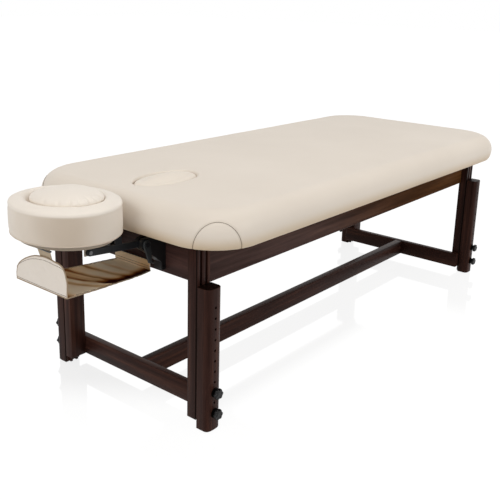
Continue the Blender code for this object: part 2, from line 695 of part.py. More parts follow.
def build_brackets():
    slot = ARM_THICKNESS / 2 + CLEARANCE
    for side, out in SIDES.items():
        y = out * CRADLE_Y
        name = "cradle_bracket_" + side
        mesh = prism_mesh(name, [bracket_outline()], BRACKET_WIDTH)
        bracket = place(name, mesh, BLACK, (0, y, 0), (math.pi / 2, 0, 0), smooth=False)
        cut_box(bracket, name + "_slot", (PIVOT_X - 0.05, y - slot, PIVOT_Z - 0.06),
                (PIVOT_X + SLOT_BACK, y + slot, PIVOT_Z + 0.05))
        drill(bracket, name + "_pin_hole", PIN_RADIUS + CLEARANCE, -0.05, 0.05,
              [along((0, 1, 0), (PIVOT_X, y, PIVOT_Z))])
        drill(bracket, name + "_rod_hole", ROD_RADIUS + CLEARANCE, -ROD_IN_BRACKET - CLEARANCE, 0.05,
              [along((1, 0, 0), (BRACKET_BACK_X, y, ROD_Z))], 20)
        drill(bracket, name + "_bar_hole", BAR_RADIUS + CLEARANCE, -0.05, 0.05,
              [along((0, 1, 0), (BAR_X, y, BAR_Z))])
        rod_end = RAIL_THICKNESS + ROD_BEYOND_RAIL
        turned("cradle_rod_" + side, rod_profile(ROD_RADIUS, -ROD_IN_BRACKET, rod_end),
               [along((1, 0, 0), (BRACKET_BACK_X, y, ROD_Z))], STEEL, 20)


def build_sling_bar():
    half = CRADLE_Y + BRACKET_WIDTH / 2
    turned("sling_bar", rod_profile(BAR_RADIUS, -half, half), [along((0, 1, 0), (BAR_X, 0, BAR_Z))], STEEL)


def arm_angle():
    return math.atan2(ARM_RISE, ARM_LENGTH)


def arm_outline():
    """Flat bar with round ends, pivot at zero, running to -X."""
    reach = math.hypot(ARM_LENGTH, ARM_RISE)
    radius = ARM_HEIGHT / 2
    return arc((0, 0), radius, -90, 90, 6) + arc((-reach, 0), radius, 90, 270, 6)


def build_arms():
    for side, out in SIDES.items():
        y = out * CRADLE_Y
        name = "cradle_arm_" + side
        mesh = prism_mesh(name, [arm_outline()], ARM_THICKNESS, 0.001)
        arm = place(name, mesh, STEEL, (PIVOT_X, y, PIVOT_Z), (math.pi / 2, arm_angle(), 0))
        tab_x, _, tab_z = place_on_arm(TAB_SHARE, y)
        bm = bmesh.new()
        bmesh.ops.create_cube(bm, size=1.0)
        tab_top = PLATFORM_BOTTOM_Z - CLEARANCE
        bmesh.ops.scale(bm, vec=(LUG_WIDTH, ARM_THICKNESS - 0.0024, tab_top - tab_z), verts=bm.verts)
        bmesh.ops.translate(bm, vec=(tab_x, y, (tab_top + tab_z) / 2), verts=bm.verts)
        join(arm, make_cutter(name + "_tab", bm))
        drill(arm, name + "_pin_hole", PIN_RADIUS + CLEARANCE, -0.05, 0.05,
              [along((0, 1, 0), (PIVOT_X, y, PIVOT_Z))])
        drill(arm, name + "_rivet_hole", RIVET_RADIUS + CLEARANCE, -0.05, 0.05,
              [along((0, 1, 0), place_on_arm(1.0, y))])


def place_on_arm(share, y):
    return (PIVOT_X - ARM_LENGTH * share, y, PIVOT_Z + ARM_RISE * share)


def lug_y(out):
    """Middle of a lug, on the arm's inner side."""
    return out * (CRADLE_Y - ARM_THICKNESS / 2 - CLEARANCE - LUG_THICKNESS / 2)


def build_platform():
    outlines = [ellipse(PLATFORM_HALF_X, PLATFORM_HALF_Y), ellipse(PLATFORM_HOLE_X, PLATFORM_HOLE_Y)]
    mesh = prism_mesh("cradle_platform", outlines, PLATFORM_THICKNESS)
    platform = place("cradle_platform", mesh, BLACK, (CUSHION_X, 0, PLATFORM_BOTTOM_Z + PLATFORM_THICKNESS / 2))
    rivet_x, _, rivet_z = place_on_arm(1.0, 0)
    length = ARM_THICKNESS + 2 * CLEARANCE + LUG_THICKNESS
    profile = headed_profile(RIVET_RADIUS, length, RIVET_HEAD_RADIUS, RIVET_HEAD_HEIGHT)
    for side, out in SIDES.items():
        low = rivet_z - ARM_HEIGHT / 2
        high = PLATFORM_BOTTOM_Z + PLATFORM_THICKNESS / 2
        lug = bmesh.new()
        bmesh.ops.create_cube(lug, size=1.0)
        bmesh.ops.scale(lug, vec=(LUG_WIDTH, LUG_THICKNESS, high - low), verts=lug.verts)
        bmesh.ops.translate(lug, vec=(rivet_x, lug_y(out), (low + high) / 2), verts=lug.verts)
        join(platform, make_cutter("platform_lug_" + side, lug))
        seat = along((0, out, 0), (rivet_x, out * (CRADLE_Y + ARM_THICKNESS / 2 + CLEARANCE), rivet_z))
        drill(platform, "lug_hole_" + side, RIVET_RADIUS + CLEARANCE, -0.03, 0.03, [seat])
        turned("arm_rivet_" + side, profile, [seat], ZINC)
        middle = (CUSHION_X, out * STRIP_Y, PLATFORM_TOP_Z + CLEARANCE + STRIP_THICKNESS / 2)
        size = Vector((STRIP_LENGTH, STRIP_WIDTH, STRIP_THICKNESS))
        box("grip_strip_" + side, Vector(middle) - size / 2, Vector(middle) + size / 2, BLACK)


def cushion_profile():
    """Closed section of the ring: share from inner to outer edge, and height above the base."""
    ring = CUSHION_RING_WIDTH
    edge, draw = CUSHION_EDGE_ROUND / ring, CUSHION_SIDE_DRAW / ring
    top = CUSHION_THICKNESS
    middle = top / 2
    half_edge = CUSHION_EDGE_ROUND * 0.3
    inner = [(draw, CUSHION_EDGE_ROUND), (0.0, middle), (draw * 0.5, top - CUSHION_EDGE_ROUND),
             (edge * 0.3, top - half_edge), (edge, top)]
    crown = [(0.35, top + CUSHION_CROWN * 0.8), (0.55, top + CUSHION_CROWN), (0.78, top + CUSHION_CROWN * 0.7)]
    outer = [(1 - edge, top), (1 - edge * 0.3, top - half_edge), (1 - draw * 0.5, top - CUSHION_EDGE_ROUND),
             (1.0, middle), (1 - draw, CUSHION_EDGE_ROUND), (1 - edge * 0.6, half_edge), (1 - edge, 0.0)]
    return inner + crown + outer + [(edge, 0.0), (edge * 0.6, half_edge)]


def build_face_cushion():
    outer_x, outer_y = CUSHION_LENGTH / 2, CUSHION_WIDTH / 2
    inner_x, inner_y = outer_x - CUSHION_RING_WIDTH, outer_y - CUSHION_RING_WIDTH
    rings = []
    for share, height in cushion_profile():
        outline = ellipse(inner_x + (outer_x - inner_x) * share, inner_y + (outer_y - inner_y) * share)
        rings.append([(x, y, height) for x, y in outline])
    loft("face_cushion", rings, VINYL, (CUSHION_X, 0, CUSHION_BOTTOM_Z), closed=True)
    crowned_plug("face_cushion_plug", inner_x - SOFT_GAP, inner_y - SOFT_GAP, PLATFORM_TOP_Z + CLEARANCE,
                 CUSHION_BOTTOM_Z + CUSHION_THICKNESS, CUSHION_PLUG_CROWN, PLUG_EDGE_ROUND, CUSHION_X)


def build_pivots():
    head = BRACKET_WIDTH / 2 + CLEARANCE
    spreads = {"near": head + LEVER_THICKNESS + CLEARANCE, "far": head}
    for side, out in SIDES.items():
        length = spreads[side] + BRACKET_WIDTH / 2
        seat = (PIVOT_X, out * (CRADLE_Y + spreads[side]), PIVOT_Z)
        turned("pivot_pin_" + side, headed_profile(PIN_RADIUS, length, PIN_HEAD_RADIUS, PIN_HEAD_HEIGHT),
               [along((0, out, 0), seat)], ZINC)

def lever_outline():
    """Round boss with a handle that curves down and toward the rail."""
    handle = LEVER_WIDTH / 2
    tip = LEVER_LENGTH - handle
    lean = LEVER_WIDTH * 0.9
    return (arc((0, 0), LEVER_BOSS_RADIUS, -25, 205, 10)
            + [(-handle * 0.6, -tip * 0.5)]
            + arc((lean, -tip), handle, 200, 345, 5)
            + [(lean * 1.5, -tip * 0.5)])


def build_lever():
    mesh = prism_mesh("cam_lever", [lever_outline()], LEVER_THICKNESS, 0.001)
    y = -CRADLE_Y - BRACKET_WIDTH / 2 - CLEARANCE - LEVER_THICKNESS / 2
    lever = place("cam_lever", mesh, GREY, (PIVOT_X, y, PIVOT_Z), (math.pi / 2, 0, 0))
    drill(lever, "cam_lever_hole", PIN_RADIUS + CLEARANCE, -0.05, 0.05,
          [along((0, 1, 0), (PIVOT_X, y, PIVOT_Z))])


def sling_path():
    """Centre line of the sling in X and Z, from the hem on the bar to the top of the end panel."""
    low_z = SLING_HEM_Z - SLING_HEM_DROP
    points = []
    drop_steps = SLING_STEPS_ALONG // 6
    floor_steps = SLING_STEPS_ALONG // 2
    panel_steps = SLING_STEPS_ALONG - drop_steps - floor_steps
    for step in range(drop_steps):
        points.append((SLING_HEM_X, SLING_HEM_Z - SLING_HEM_DROP * step / drop_steps))
    for step in range(floor_steps):
        share = step / floor_steps
        sag = SLING_SAG * math.sin(math.pi * share)
        points.append((SLING_HEM_X + (SLING_FOLD_X - SLING_HEM_X) * share,
                       low_z + (SLING_FOLD_Z - low_z) * share - sag))
    for step in range(panel_steps + 1):
        share = step / panel_steps
        points.append((SLING_FOLD_X - SLING_PANEL_LEAN * share,
                       SLING_FOLD_Z + (SLING_PANEL_TOP_Z - SLING_FOLD_Z) * share))
    return points, drop_steps, floor_steps


def sling_half_width(index, height, drop_steps, floor_steps):
    if index <= drop_steps:
        return SLING_HEM_HALF_WIDTH
    if index <= drop_steps + floor_steps:
        share = (index - drop_steps) / floor_steps
        return SLING_HEM_HALF_WIDTH + (SLING_FOLD_HALF_WIDTH - SLING_HEM_HALF_WIDTH) * share
    corner_z = SLING_PANEL_TOP_Z - SLING_PANEL_CORNER
    over = max(0.0, (height - corner_z) / SLING_PANEL_CORNER)
    return SLING_FOLD_HALF_WIDTH - SLING_PANEL_CORNER * (1 - math.sqrt(1 - min(over, 1.0) ** 2))


def build_sling():
    path, drop_steps, floor_steps = sling_path()
    bm = bmesh.new()
    grid = []
    for index, (x, z) in enumerate(path):
        half = sling_half_width(index, z, drop_steps, floor_steps)
        on_floor = drop_steps < index < drop_steps + floor_steps
        row = []
        for step in range(SLING_STEPS_ACROSS + 1):
            across = -1 + 2 * step / SLING_STEPS_ACROSS
            share = (index - drop_steps) / floor_steps
            fold = math.sin(math.pi * share) * math.sin(2.5 * math.pi * (across + 0.8 * share)) if on_floor else 0.0
            row.append(bm.verts.new((x, half * across, z + SLING_WRINKLE * fold)))
        grid.append(row)
    for first, second in zip(grid, grid[1:]):
        for step in range(SLING_STEPS_ACROSS):
            bm.faces.new((first[step], first[step + 1], second[step + 1], second[step]))
    sling = place("arm_sling", mesh_from(bm, "arm_sling"), VINYL)
    shell = sling.modifiers.new("sheet", "SOLIDIFY")
    shell.thickness = SLING_THICKNESS
    shell.offset = 0.0
    strap_top = PLATFORM_BOTTOM_Z - STRAP_GAP
    strap_low = SLING_PANEL_TOP_Z - STRAP_OVERLAP
    low = (STRAP_X - STRAP_THICKNESS / 2, -STRAP_WIDTH / 2, strap_low)
    high = (STRAP_X + STRAP_THICKNESS / 2, STRAP_WIDTH / 2, strap_top)
    box("sling_strap", low, high, STRAP)
    buckle_z = SLING_PANEL_TOP_Z + BUCKLE_HEIGHT
    buckle = box("strap_buckle",
                 (STRAP_X - BUCKLE_DEPTH / 2, -STRAP_WIDTH / 2 - BUCKLE_BORDER, buckle_z - BUCKLE_HEIGHT / 2),
                 (STRAP_X + BUCKLE_DEPTH / 2, STRAP_WIDTH / 2 + BUCKLE_BORDER, buckle_z + BUCKLE_HEIGHT / 2), GREY)
    cut_box(buckle, "buckle_slot",
            (STRAP_X - STRAP_THICKNESS / 2 - CLEARANCE, -STRAP_WIDTH / 2 - CLEARANCE, buckle_z - BUCKLE_HEIGHT),
            (STRAP_X + STRAP_THICKNESS / 2 + CLEARANCE, STRAP_WIDTH / 2 + CLEARANCE, buckle_z + BUCKLE_HEIGHT))


build_pad()
build_board()
build_pad_plug()
build_rails()
build_corner_blocks()
build_slats()
build_posts()
build_legs()
build_knobs()
build_lower_frame()
build_sockets()
build_brackets()
build_sling_bar()
build_arms()
build_platform()
build_face_cushion()
build_pivots()
build_lever()
build_sling()
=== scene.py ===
"""Massage table: upholstery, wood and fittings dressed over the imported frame, with camera and studio.

Lengths are metres in the frame's own axes: +X toward the foot end, -Y toward the near side, +Z up."""

import json
import math
from itertools import product

import bmesh
import bpy
from mathutils import Matrix, Vector, noise

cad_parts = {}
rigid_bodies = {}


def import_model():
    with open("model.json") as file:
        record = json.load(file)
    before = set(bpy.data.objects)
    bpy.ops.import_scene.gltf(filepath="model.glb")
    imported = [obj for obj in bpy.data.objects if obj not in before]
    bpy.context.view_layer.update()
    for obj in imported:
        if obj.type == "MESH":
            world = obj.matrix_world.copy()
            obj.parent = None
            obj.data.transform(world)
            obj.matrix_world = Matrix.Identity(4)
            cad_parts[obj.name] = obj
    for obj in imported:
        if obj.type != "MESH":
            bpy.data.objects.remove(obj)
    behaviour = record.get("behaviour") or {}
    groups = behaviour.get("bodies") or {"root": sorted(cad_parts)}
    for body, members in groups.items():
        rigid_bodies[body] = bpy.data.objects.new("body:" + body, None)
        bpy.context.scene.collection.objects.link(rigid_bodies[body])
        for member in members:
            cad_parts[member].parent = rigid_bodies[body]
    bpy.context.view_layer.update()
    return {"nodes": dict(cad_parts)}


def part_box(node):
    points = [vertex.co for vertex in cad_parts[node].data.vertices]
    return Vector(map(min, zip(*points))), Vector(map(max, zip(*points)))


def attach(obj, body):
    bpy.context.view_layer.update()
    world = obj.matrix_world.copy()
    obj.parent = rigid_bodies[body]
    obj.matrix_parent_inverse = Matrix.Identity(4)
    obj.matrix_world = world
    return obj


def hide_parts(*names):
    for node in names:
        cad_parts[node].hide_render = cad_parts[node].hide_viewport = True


for leftover in list(bpy.data.objects):
    bpy.data.objects.remove(leftover, do_unlink=True)

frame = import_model()
NODES = frame["nodes"]
SIDES = {"near": -1, "far": 1}
ENDS = ("head", "foot")


# Small sums used throughout

def clamp(value):
    return min(1.0, max(0.0, value))


def ease(share):
    """Smooth step of a share from 0 to 1."""
    return share * share * (3 - 2 * share)


def hump(offset, width, power=2):
    """Bell curve: 1 in the middle, 1/e at one width."""
    return math.exp(-(offset / width) ** power)


def wobble(point, size, seed=0.0):
    """Smooth repeatable noise between about -1 and 1."""
    return noise.noise((point[0] / size + seed, point[1] / size - seed, point[2] / size + 2 * seed))


def turns(count):
    """Angles of equal steps round a circle."""
    return [2 * math.pi * number / count for number in range(count)]


def ellipse(half_x, half_y, count):
    return [(half_x * math.cos(angle), half_y * math.sin(angle)) for angle in turns(count)]


def quarter(start, stop, steps, rising):
    """Quarter of an ellipse from one profile point to another."""
    points = []
    for step in range(1, steps + 1):
        angle = math.pi / 2 * step / steps
        out, up = math.sin(angle), 1 - math.cos(angle)
        if rising:
            out, up = up, out
        points.append((start[0] + (stop[0] - start[0]) * out, start[1] + (stop[1] - start[1]) * up))
    return points


def plan(node):
    """Middle and half size of a node's box, seen from above."""
    low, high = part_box(node)
    middle = ((low[0] + high[0]) / 2, (low[1] + high[1]) / 2)
    return middle, ((high[0] - low[0]) / 2, (high[1] - low[1]) / 2)


# Procedural materials

def wire(tree, made, **values):
    """Set up a node. Names with a capital are inputs: values, or outputs to link from."""
    for key, value in values.items():
        socket = key.replace("_", " ")
        if key[0].islower():
            setattr(made, key, value)
        elif isinstance(value, bpy.types.NodeSocket):
            tree.links.new(value, made.inputs[socket])
        elif value is not None:
            made.inputs[socket].default_value = value
    return made


class Shader:
    """A material with a Principled shader and short ways to wire nodes into it."""

    def __init__(self, name, metallic=0.0, colour=None):
        self.material = bpy.data.materials.new(name)
        self.material.use_nodes = True
        self.tree = self.material.node_tree
        self.main = wire(self.tree, self.tree.nodes["Principled BSDF"], Metallic=metallic)
        if colour:
            wire(self.tree, self.main, Base_Color=(*colour, 1))
            self.material.diffuse_color = (*colour, 1)
        self.coords = self.node("ShaderNodeTexCoord").outputs["Object"]

    def node(self, kind, **values):
        return wire(self.tree, self.tree.nodes.new(kind), **values)

    def stretched(self, scale):
        return self.node("ShaderNodeMapping", Vector=self.coords, Scale=scale).outputs["Vector"]

    def noise(self, scale, detail=4.0, rough=0.5, vector=None, distortion=0.0):
        made = self.node("ShaderNodeTexNoise", Vector=vector or self.coords, Scale=scale, Detail=detail,
                         Roughness=rough, Distortion=distortion)
        return made.outputs["Fac"]

    def cells(self, scale):
        return self.node("ShaderNodeTexVoronoi", Vector=self.coords, Scale=scale).outputs["Distance"]

    def painted(self, name):
        """Value that the mesh itself carries."""
        return self.node("ShaderNodeAttribute", attribute_name=name).outputs["Fac"]

    def rise(self, axis, start, stop):
        """Smooth share from 0 to 1 along one axis of the object."""
        place = self.node("ShaderNodeSeparateXYZ", Vector=self.coords).outputs[axis]
        made = self.node("ShaderNodeMapRange", interpolation_type="SMOOTHSTEP", Value=place,
                         From_Min=start, From_Max=stop)
        return made.outputs["Result"]

    def spread(self, value, low, high):
        return self.node("ShaderNodeMapRange", Value=value, To_Min=low, To_Max=high).outputs["Result"]

    def ramp(self, value, stops):
        made = self.node("ShaderNodeValToRGB", Fac=value)
        while len(made.color_ramp.elements) < len(stops):
            made.color_ramp.elements.new(0.5)
        for element, (place, colour) in zip(made.color_ramp.elements, stops):
            element.position = place
            element.color = (*colour, 1)
        return made.outputs["Color"]

    def mix(self, first, second, share=None):
        """Two colours blended by a share, or multiplied where there is none."""
        kind = "MIX" if share else "MULTIPLY"
        made = self.node("ShaderNodeMix", data_type="RGBA", blend_type=kind, Factor=share or 1.0)
        self.tree.links.new(first, made.inputs[6])
        self.tree.links.new(second, made.inputs[7])
        return made.outputs[2]

    def bump(self, height, strength, distance, under=None):
        made = self.node("ShaderNodeBump", Height=height, Strength=strength, Distance=distance, Normal=under)
        return made.outputs["Normal"]

    def finish(self, colour, roughness, normal=None, shine=0.5):
        wire(self.tree, self.main, Base_Color=colour, Roughness=roughness, Normal=normal,
             Specular_IOR_Level=shine)
        return self.material


WHITE = (1.0, 1.0, 1.0)
# Warm painted shade that darkens the pad's cover toward its lower edge
HEM_PAINTED_SHADE = (0.80, 0.70, 0.55)


def vinyl(name, light, dark, grain=620.0, hem=None, painted_shade_strength=None):
    """Soft upholstery leather: fine pebble grain, slow tone changes and faint hide wrinkles.

    A hem gives the height of the lower edge and how far up from it the warm painted shade reaches.
    A painted shade tint goes where the mesh's own tone value is 1."""
    made = Shader(name, colour=light)
    tone = made.ramp(made.noise(2.6, detail=3.0), [(0.30, dark), (0.70, light)])
    # Painted shade, as a tint where the mesh's tone value is high
    if painted_shade_strength:
        tone = made.mix(tone, made.ramp(made.painted("tone"), [(0.0, WHITE), (1.0, painted_shade_strength)]))
    # Painted shade: warmer and darker toward the lower edge
    if hem:
        height = made.rise("Z", hem[0], hem[0] + hem[1])
        tone = made.mix(tone, made.ramp(height, [(0.0, HEM_PAINTED_SHADE), (1.0, WHITE)]))
    gloss = made.spread(made.noise(160.0, detail=3.0), 0.40, 0.54)
    wrinkles = made.bump(made.noise(46.0, detail=6.0, rough=0.6, distortion=0.6), 0.10, 0.0012)
    return made.finish(tone, gloss, made.bump(made.cells(grain), 0.18, 0.0006, wrinkles), shine=0.38)


def stain(dark, middle, light):
    """Colours of a stain from the grain's dark lines to its light ones."""
    return list(zip((0.28, 0.52, 0.78), (dark, middle, light)))


DARK_STAIN = stain((0.0106, 0.0038, 0.0032), (0.038, 0.0150, 0.0114), (0.098, 0.040, 0.0260))
RAIL_STAIN = stain((0.036, 0.0200, 0.0175), (0.078, 0.0450, 0.0410), (0.130, 0.074, 0.062))
END_STAIN = stain((0.020, 0.0100, 0.0086), (0.054, 0.0265, 0.0235), (0.105, 0.050, 0.040))
# Near black: painted shade in the groove where post and leg meet, and dark end grain on the top faces
GAP_SHADE_AND_END_GRAIN_STAIN = stain((0.0022, 0.0008, 0.0006), (0.0055, 0.0020, 0.0014), (0.0110, 0.0042, 0.0028))
WARM_STAIN = stain((0.062, 0.0235, 0.0070), (0.135, 0.0560, 0.0190), (0.215, 0.094, 0.034))
STAIN_TURN = (-0.30, 0.85)
WOOD_SHINE = (0.85, 0.62, 0.54, 1)


def wood(name, axis, tones=DARK_STAIN, turned=None):
    """Stained hardwood with its grain along one axis, which may turn to another stain toward +X."""
    made = Shader(name)

    def along(squeeze):
        scale = [1.0, 1.0, 1.0]
        scale[axis] = squeeze
        return made.stretched(scale)

    grain = made.noise(62.0, detail=7.0, rough=0.62, vector=along(0.045), distortion=0.35)
    bands = made.noise(11.0, detail=3.0, vector=along(0.18))
    pores = made.noise(520.0, detail=4.0, rough=0.7, vector=along(0.02))
    tone = made.ramp(grain, tones)
    if turned:
        tone = made.mix(tone, made.ramp(grain, turned), made.rise("X", *STAIN_TURN))
    shade = made.ramp(bands, [(0.30, (0.62, 0.62, 0.62)), (0.70, WHITE)])
    wire(made.tree, made.main, Specular_Tint=WOOD_SHINE)
    relief = made.bump(pores, 0.22, 0.0004, made.bump(grain, 0.10, 0.0008))
    return made.finish(made.mix(tone, shade), made.spread(pores, 0.34, 0.50), relief, shine=0.10)


def plywood(name):
    made = Shader(name)
    grain = made.noise(40.0, detail=6.0, rough=0.6, vector=made.stretched((0.06, 1, 1)), distortion=0.5)
    tone = made.ramp(grain, [(0.30, (0.30, 0.19, 0.10)), (0.75, (0.52, 0.37, 0.22))])
    return made.finish(tone, made.spread(made.noise(300.0), 0.60, 0.80), made.bump(grain, 0.15, 0.0006))


def moulded(name, dark, light, gloss, grain=900.0, shine=0.4):
    """Moulded or painted surface with a fine texture and uneven gloss."""
    made = Shader(name)
    tone = made.ramp(made.noise(30.0, detail=5.0), [(0.35, dark), (0.75, light)])
    roughness = made.spread(made.noise(120.0, detail=4.0), *gloss)
    return made.finish(tone, roughness, made.bump(made.noise(grain, detail=2.0), 0.12, 0.0003), shine)


def plated(name, colour):
    made = Shader(name, metallic=1.0)
    tone = made.ramp(made.noise(80.0), [(0.3, tuple(part * 0.8 for part in colour)), (0.7, colour)])
    return made.finish(tone, made.spread(made.noise(400.0, vector=made.stretched((1, 1, 0.1))), 0.25, 0.45))


def webbing(name):
    """Flat woven tape: crossing ribs in two directions."""
    made = Shader(name)
    ribs = []
    for direction, scale in (("Y", 260.0), ("Z", 180.0)):
        wave = made.node("ShaderNodeTexWave", bands_direction=direction, Vector=made.coords, Scale=scale,
                         Distortion=0.6)
        ribs.append(wave.outputs["Color"])
    tone = made.ramp(made.noise(25.0), [(0.3, (0.42, 0.33, 0.23)), (0.7, (0.52, 0.42, 0.30))])
    weave = made.bump(made.mix(*ribs), 0.35, 0.0006)
    return made.finish(tone, made.spread(made.noise(200.0), 0.62, 0.82), weave)


def lining(name):
    """Inner face of the sling: cream that goes tan and brown with the shade painted into it, by the mesh's
    crease value.
    """
    made = Shader(name)
    # Painted shade: tan, brown and near black as the mesh's crease value rises
    tone = made.ramp(made.painted("crease"), [
        (0.0, (0.99, 0.86, 0.67)), (0.22, (0.78, 0.53, 0.29)), (0.55, (0.27, 0.095, 0.018)),
        (0.85, (0.042, 0.0035, 0.0005)), (1.0, (0.024, 0.001, 0.0002))])
    wrinkles = made.bump(made.noise(60.0, detail=6.0), 0.12, 0.0012)
    return made.finish(tone, made.spread(made.noise(160.0), 0.50, 0.66),
                       made.bump(made.cells(760.0), 0.15, 0.0005, wrinkles), shine=0.06)


# Height of the pad's lower edge, and how far up its painted shade reaches
PAD_HEM_SHADE = (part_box("massage_pad")[0][2], 0.046)
# Painted light: the face cushion's vinyl is a lighter copy of the pad's, for its lit top
PAINTED_LIGHT_CREAM = ((0.88, 0.815, 0.735), (0.84, 0.770, 0.690))
# Painted shade on the face cushion's side: its colour where the tone value is 1
RING_PAINTED_SHADE = (0.575, 0.510, 0.440)
CREAM_PAD = vinyl("cream_vinyl_pad", (0.80, 0.725, 0.640), (0.755, 0.680, 0.595), hem=PAD_HEM_SHADE)
CREAM_PAINTED_LIGHT = vinyl("cream_vinyl_painted_light", *PAINTED_LIGHT_CREAM)
CREAM_RING = vinyl("cream_vinyl_ring", *PAINTED_LIGHT_CREAM, painted_shade_strength=RING_PAINTED_SHADE)
# Painted light: a lighter copy of the pad's vinyl for the hole plug's dome
CREAM_PLUG_PAINTED_LIGHT = vinyl("cream_vinyl_plug_painted_light", (0.83, 0.755, 0.665), (0.785, 0.705, 0.615))
# Painted shade: a darker copy of the cream vinyl, for the cushion's welt
CREAM_PAINTED_SHADE = vinyl("cream_vinyl_painted_shade", (0.665, 0.570, 0.470), (0.590, 0.495, 0.400))
CREAM_SLING = vinyl("cream_vinyl_sling", (0.82, 0.755, 0.685), (0.755, 0.69, 0.62))
LOOP_CLOTH = vinyl("loop_cloth", (0.36, 0.30, 0.235), (0.29, 0.24, 0.185), grain=1500.0)
BINDING = vinyl("edge_binding", (0.36, 0.265, 0.175), (0.28, 0.20, 0.125), grain=1200.0)
LINING_PAINTED_SHADE = lining("sling_lining_painted_shade")
WEBBING = webbing("tan_webbing")
WOOD_X, WOOD_Y, WOOD_Z = wood("dark_wood_x", 0), wood("dark_wood_y", 1), wood("dark_wood_z", 2)
GAP_SHADE_AND_END_GRAIN_WOOD = wood("dark_wood_gap_shade_and_end_grain", 2, GAP_SHADE_AND_END_GRAIN_STAIN)
END_WOOD = wood("dark_wood_end", 1, END_STAIN)
RAIL_WOOD = wood("dark_wood_rail", 0, RAIL_STAIN, WARM_STAIN)
PLYWOOD = plywood("plywood")
GLOSSY, SATIN, SEMI, DULL = (0.26, 0.40), (0.30, 0.44), (0.34, 0.50), (0.7, 0.9)
THREAD = moulded("brown_thread", (0.13, 0.085, 0.055), (0.20, 0.14, 0.095), (0.6, 0.8))
BLACK = moulded("black_plastic", (0.0065, 0.0065, 0.007), (0.013, 0.013, 0.014), SEMI)
KNOB_BLACK = moulded("knob_black", (0.0034, 0.0034, 0.0040), (0.0068, 0.0068, 0.0076), GLOSSY, shine=0.24)
FLANGE_BLACK = moulded("flange_black", (0.0008, 0.0006, 0.0006), (0.0016, 0.0012, 0.0012), DULL, shine=0.03)
STEEL = moulded("black_steel", (0.0045, 0.005, 0.006), (0.008, 0.009, 0.011), SATIN, 1400.0, shine=0.28)
GREY = moulded("grey_plastic", (0.020, 0.023, 0.025), (0.034, 0.038, 0.040), SATIN)
SLATE = moulded("slate_wire", (0.075, 0.085, 0.100), (0.120, 0.135, 0.155), SATIN)
DULL_ZINC = plated("zinc", (0.16, 0.16, 0.165))
FINISHES = (
    (("side_rail",), RAIL_WOOD),
    (("head_rail", "foot_rail"), END_WOOD),
    (("stretcher",), WOOD_X),
    (("deck_slat", "crossbar"), WOOD_Y),
    (("post", "leg_", "corner_block"), WOOD_Z),
    (("deck_board",), PLYWOOD),
    (("cradle_platform",), LOOP_CLOTH),
    (("arm_rivet",), DULL_ZINC),
    (("pivot_pin", "cradle_rod", "cradle_arm", "sling_bar"), STEEL),
    (("cam_lever", "strap_buckle"), GREY),
)


def finish_of(name):
    return next((material for starts, material in FINISHES if name.startswith(starts)), BLACK)


def paint(obj, material):
    obj.data.materials.clear()
    obj.data.materials.append(material)


for node_name, node in NODES.items():
    paint(node, finish_of(node_name))


# Mesh helpers


def dress(piece, body, node=None):
    """Hide the solid a piece stands for, if any, and hang the piece on what it rides on."""
    if node:
        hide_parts(node)
    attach(piece, body)


def place_object(name, data):
    obj = bpy.data.objects.new(name, data)
    bpy.context.scene.collection.objects.link(obj)
    return obj


def add_mesh(name, bm, material, smooth=True):
    bmesh.ops.recalc_face_normals(bm, faces=bm.faces)
    mesh = bpy.data.meshes.new(name)
    bm.to_mesh(mesh)
    bm.free()
    if smooth:
        mesh.shade_smooth()
    obj = place_object(name, mesh)
    paint(obj, material)
    return obj


def sharpen(obj, degrees):
    obj.data.set_sharp_from_angle(angle=math.radians(degrees))


def store(mesh, name, values):
    """Give each point of a mesh a value that its material reads."""
    mesh.attributes.new(name, "FLOAT", "POINT").data.foreach_set("value", values)


def skin(name, rings, material, closed=False):
    """Quads between rings of equal point count, with end caps or closed on itself."""
    bm = bmesh.new()
    loops = [[bm.verts.new(point) for point in ring] for ring in rings]
    pairs = list(zip(loops, loops[1:]))
    if closed:
        pairs.append((loops[-1], loops[0]))
    count = len(loops[0])
    for lower, upper in pairs:
        for index in range(count):
            after = (index + 1) % count
            bm.faces.new((lower[index], lower[after], upper[after], upper[index]))
    if not closed:
        bm.faces.new(loops[0])
        bm.faces.new(loops[-1])
    return add_mesh(name, bm, material)


def sheet_faces(bm, rows):
    """Quads between rows of points."""
    for lower, upper in zip(rows, rows[1:]):
        for index in range(len(lower) - 1):
            bm.faces.new((lower[index], upper[index], upper[index + 1], lower[index + 1]))


def tube(name, paths, radius, material, cyclic=False, sides=3):
    """Round cord or thread along one or more paths."""
    curve = bpy.data.curves.new(name, "CURVE")
    curve.dimensions = "3D"
    curve.bevel_depth = radius
    curve.bevel_resolution = sides
    curve.use_fill_caps = True
    for path in paths:
        spline = curve.splines.new("POLY")
        spline.points.add(len(path) - 1)
        for point, place in zip(spline.points, path):
            point.co = (*place, 1)
        spline.use_cyclic_u = cyclic
        spline.use_smooth = True
    curve.materials.append(material)
    return place_object(name, curve)


# Wooden members with rounded edges

EDGE_ROUND, SHORTEST_EDGE = 0.0013, 0.012
RAIL_TRIM, RAIL_END = 0.013, 0.004
JOINT_Y = -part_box("post_head_near")[0][1]
JOINT_BEVEL, JOINT_SLACK, JOINT_EDGE = 0.0028, 0.0006, 0.1
# How near the joint the groove's faces take the painted shade
GAP_SHADE_REACH = JOINT_BEVEL + 0.0004
FRAME_WOOD = ("side_rail", "head_rail", "foot_rail", "stretcher", "crossbar", "post")


def bevel(bm, edges, width, segments):
    bmesh.ops.bevel(bm, geom=edges, offset=width, segments=segments, profile=0.5, affect="EDGES",
                    clamp_overlap=True)


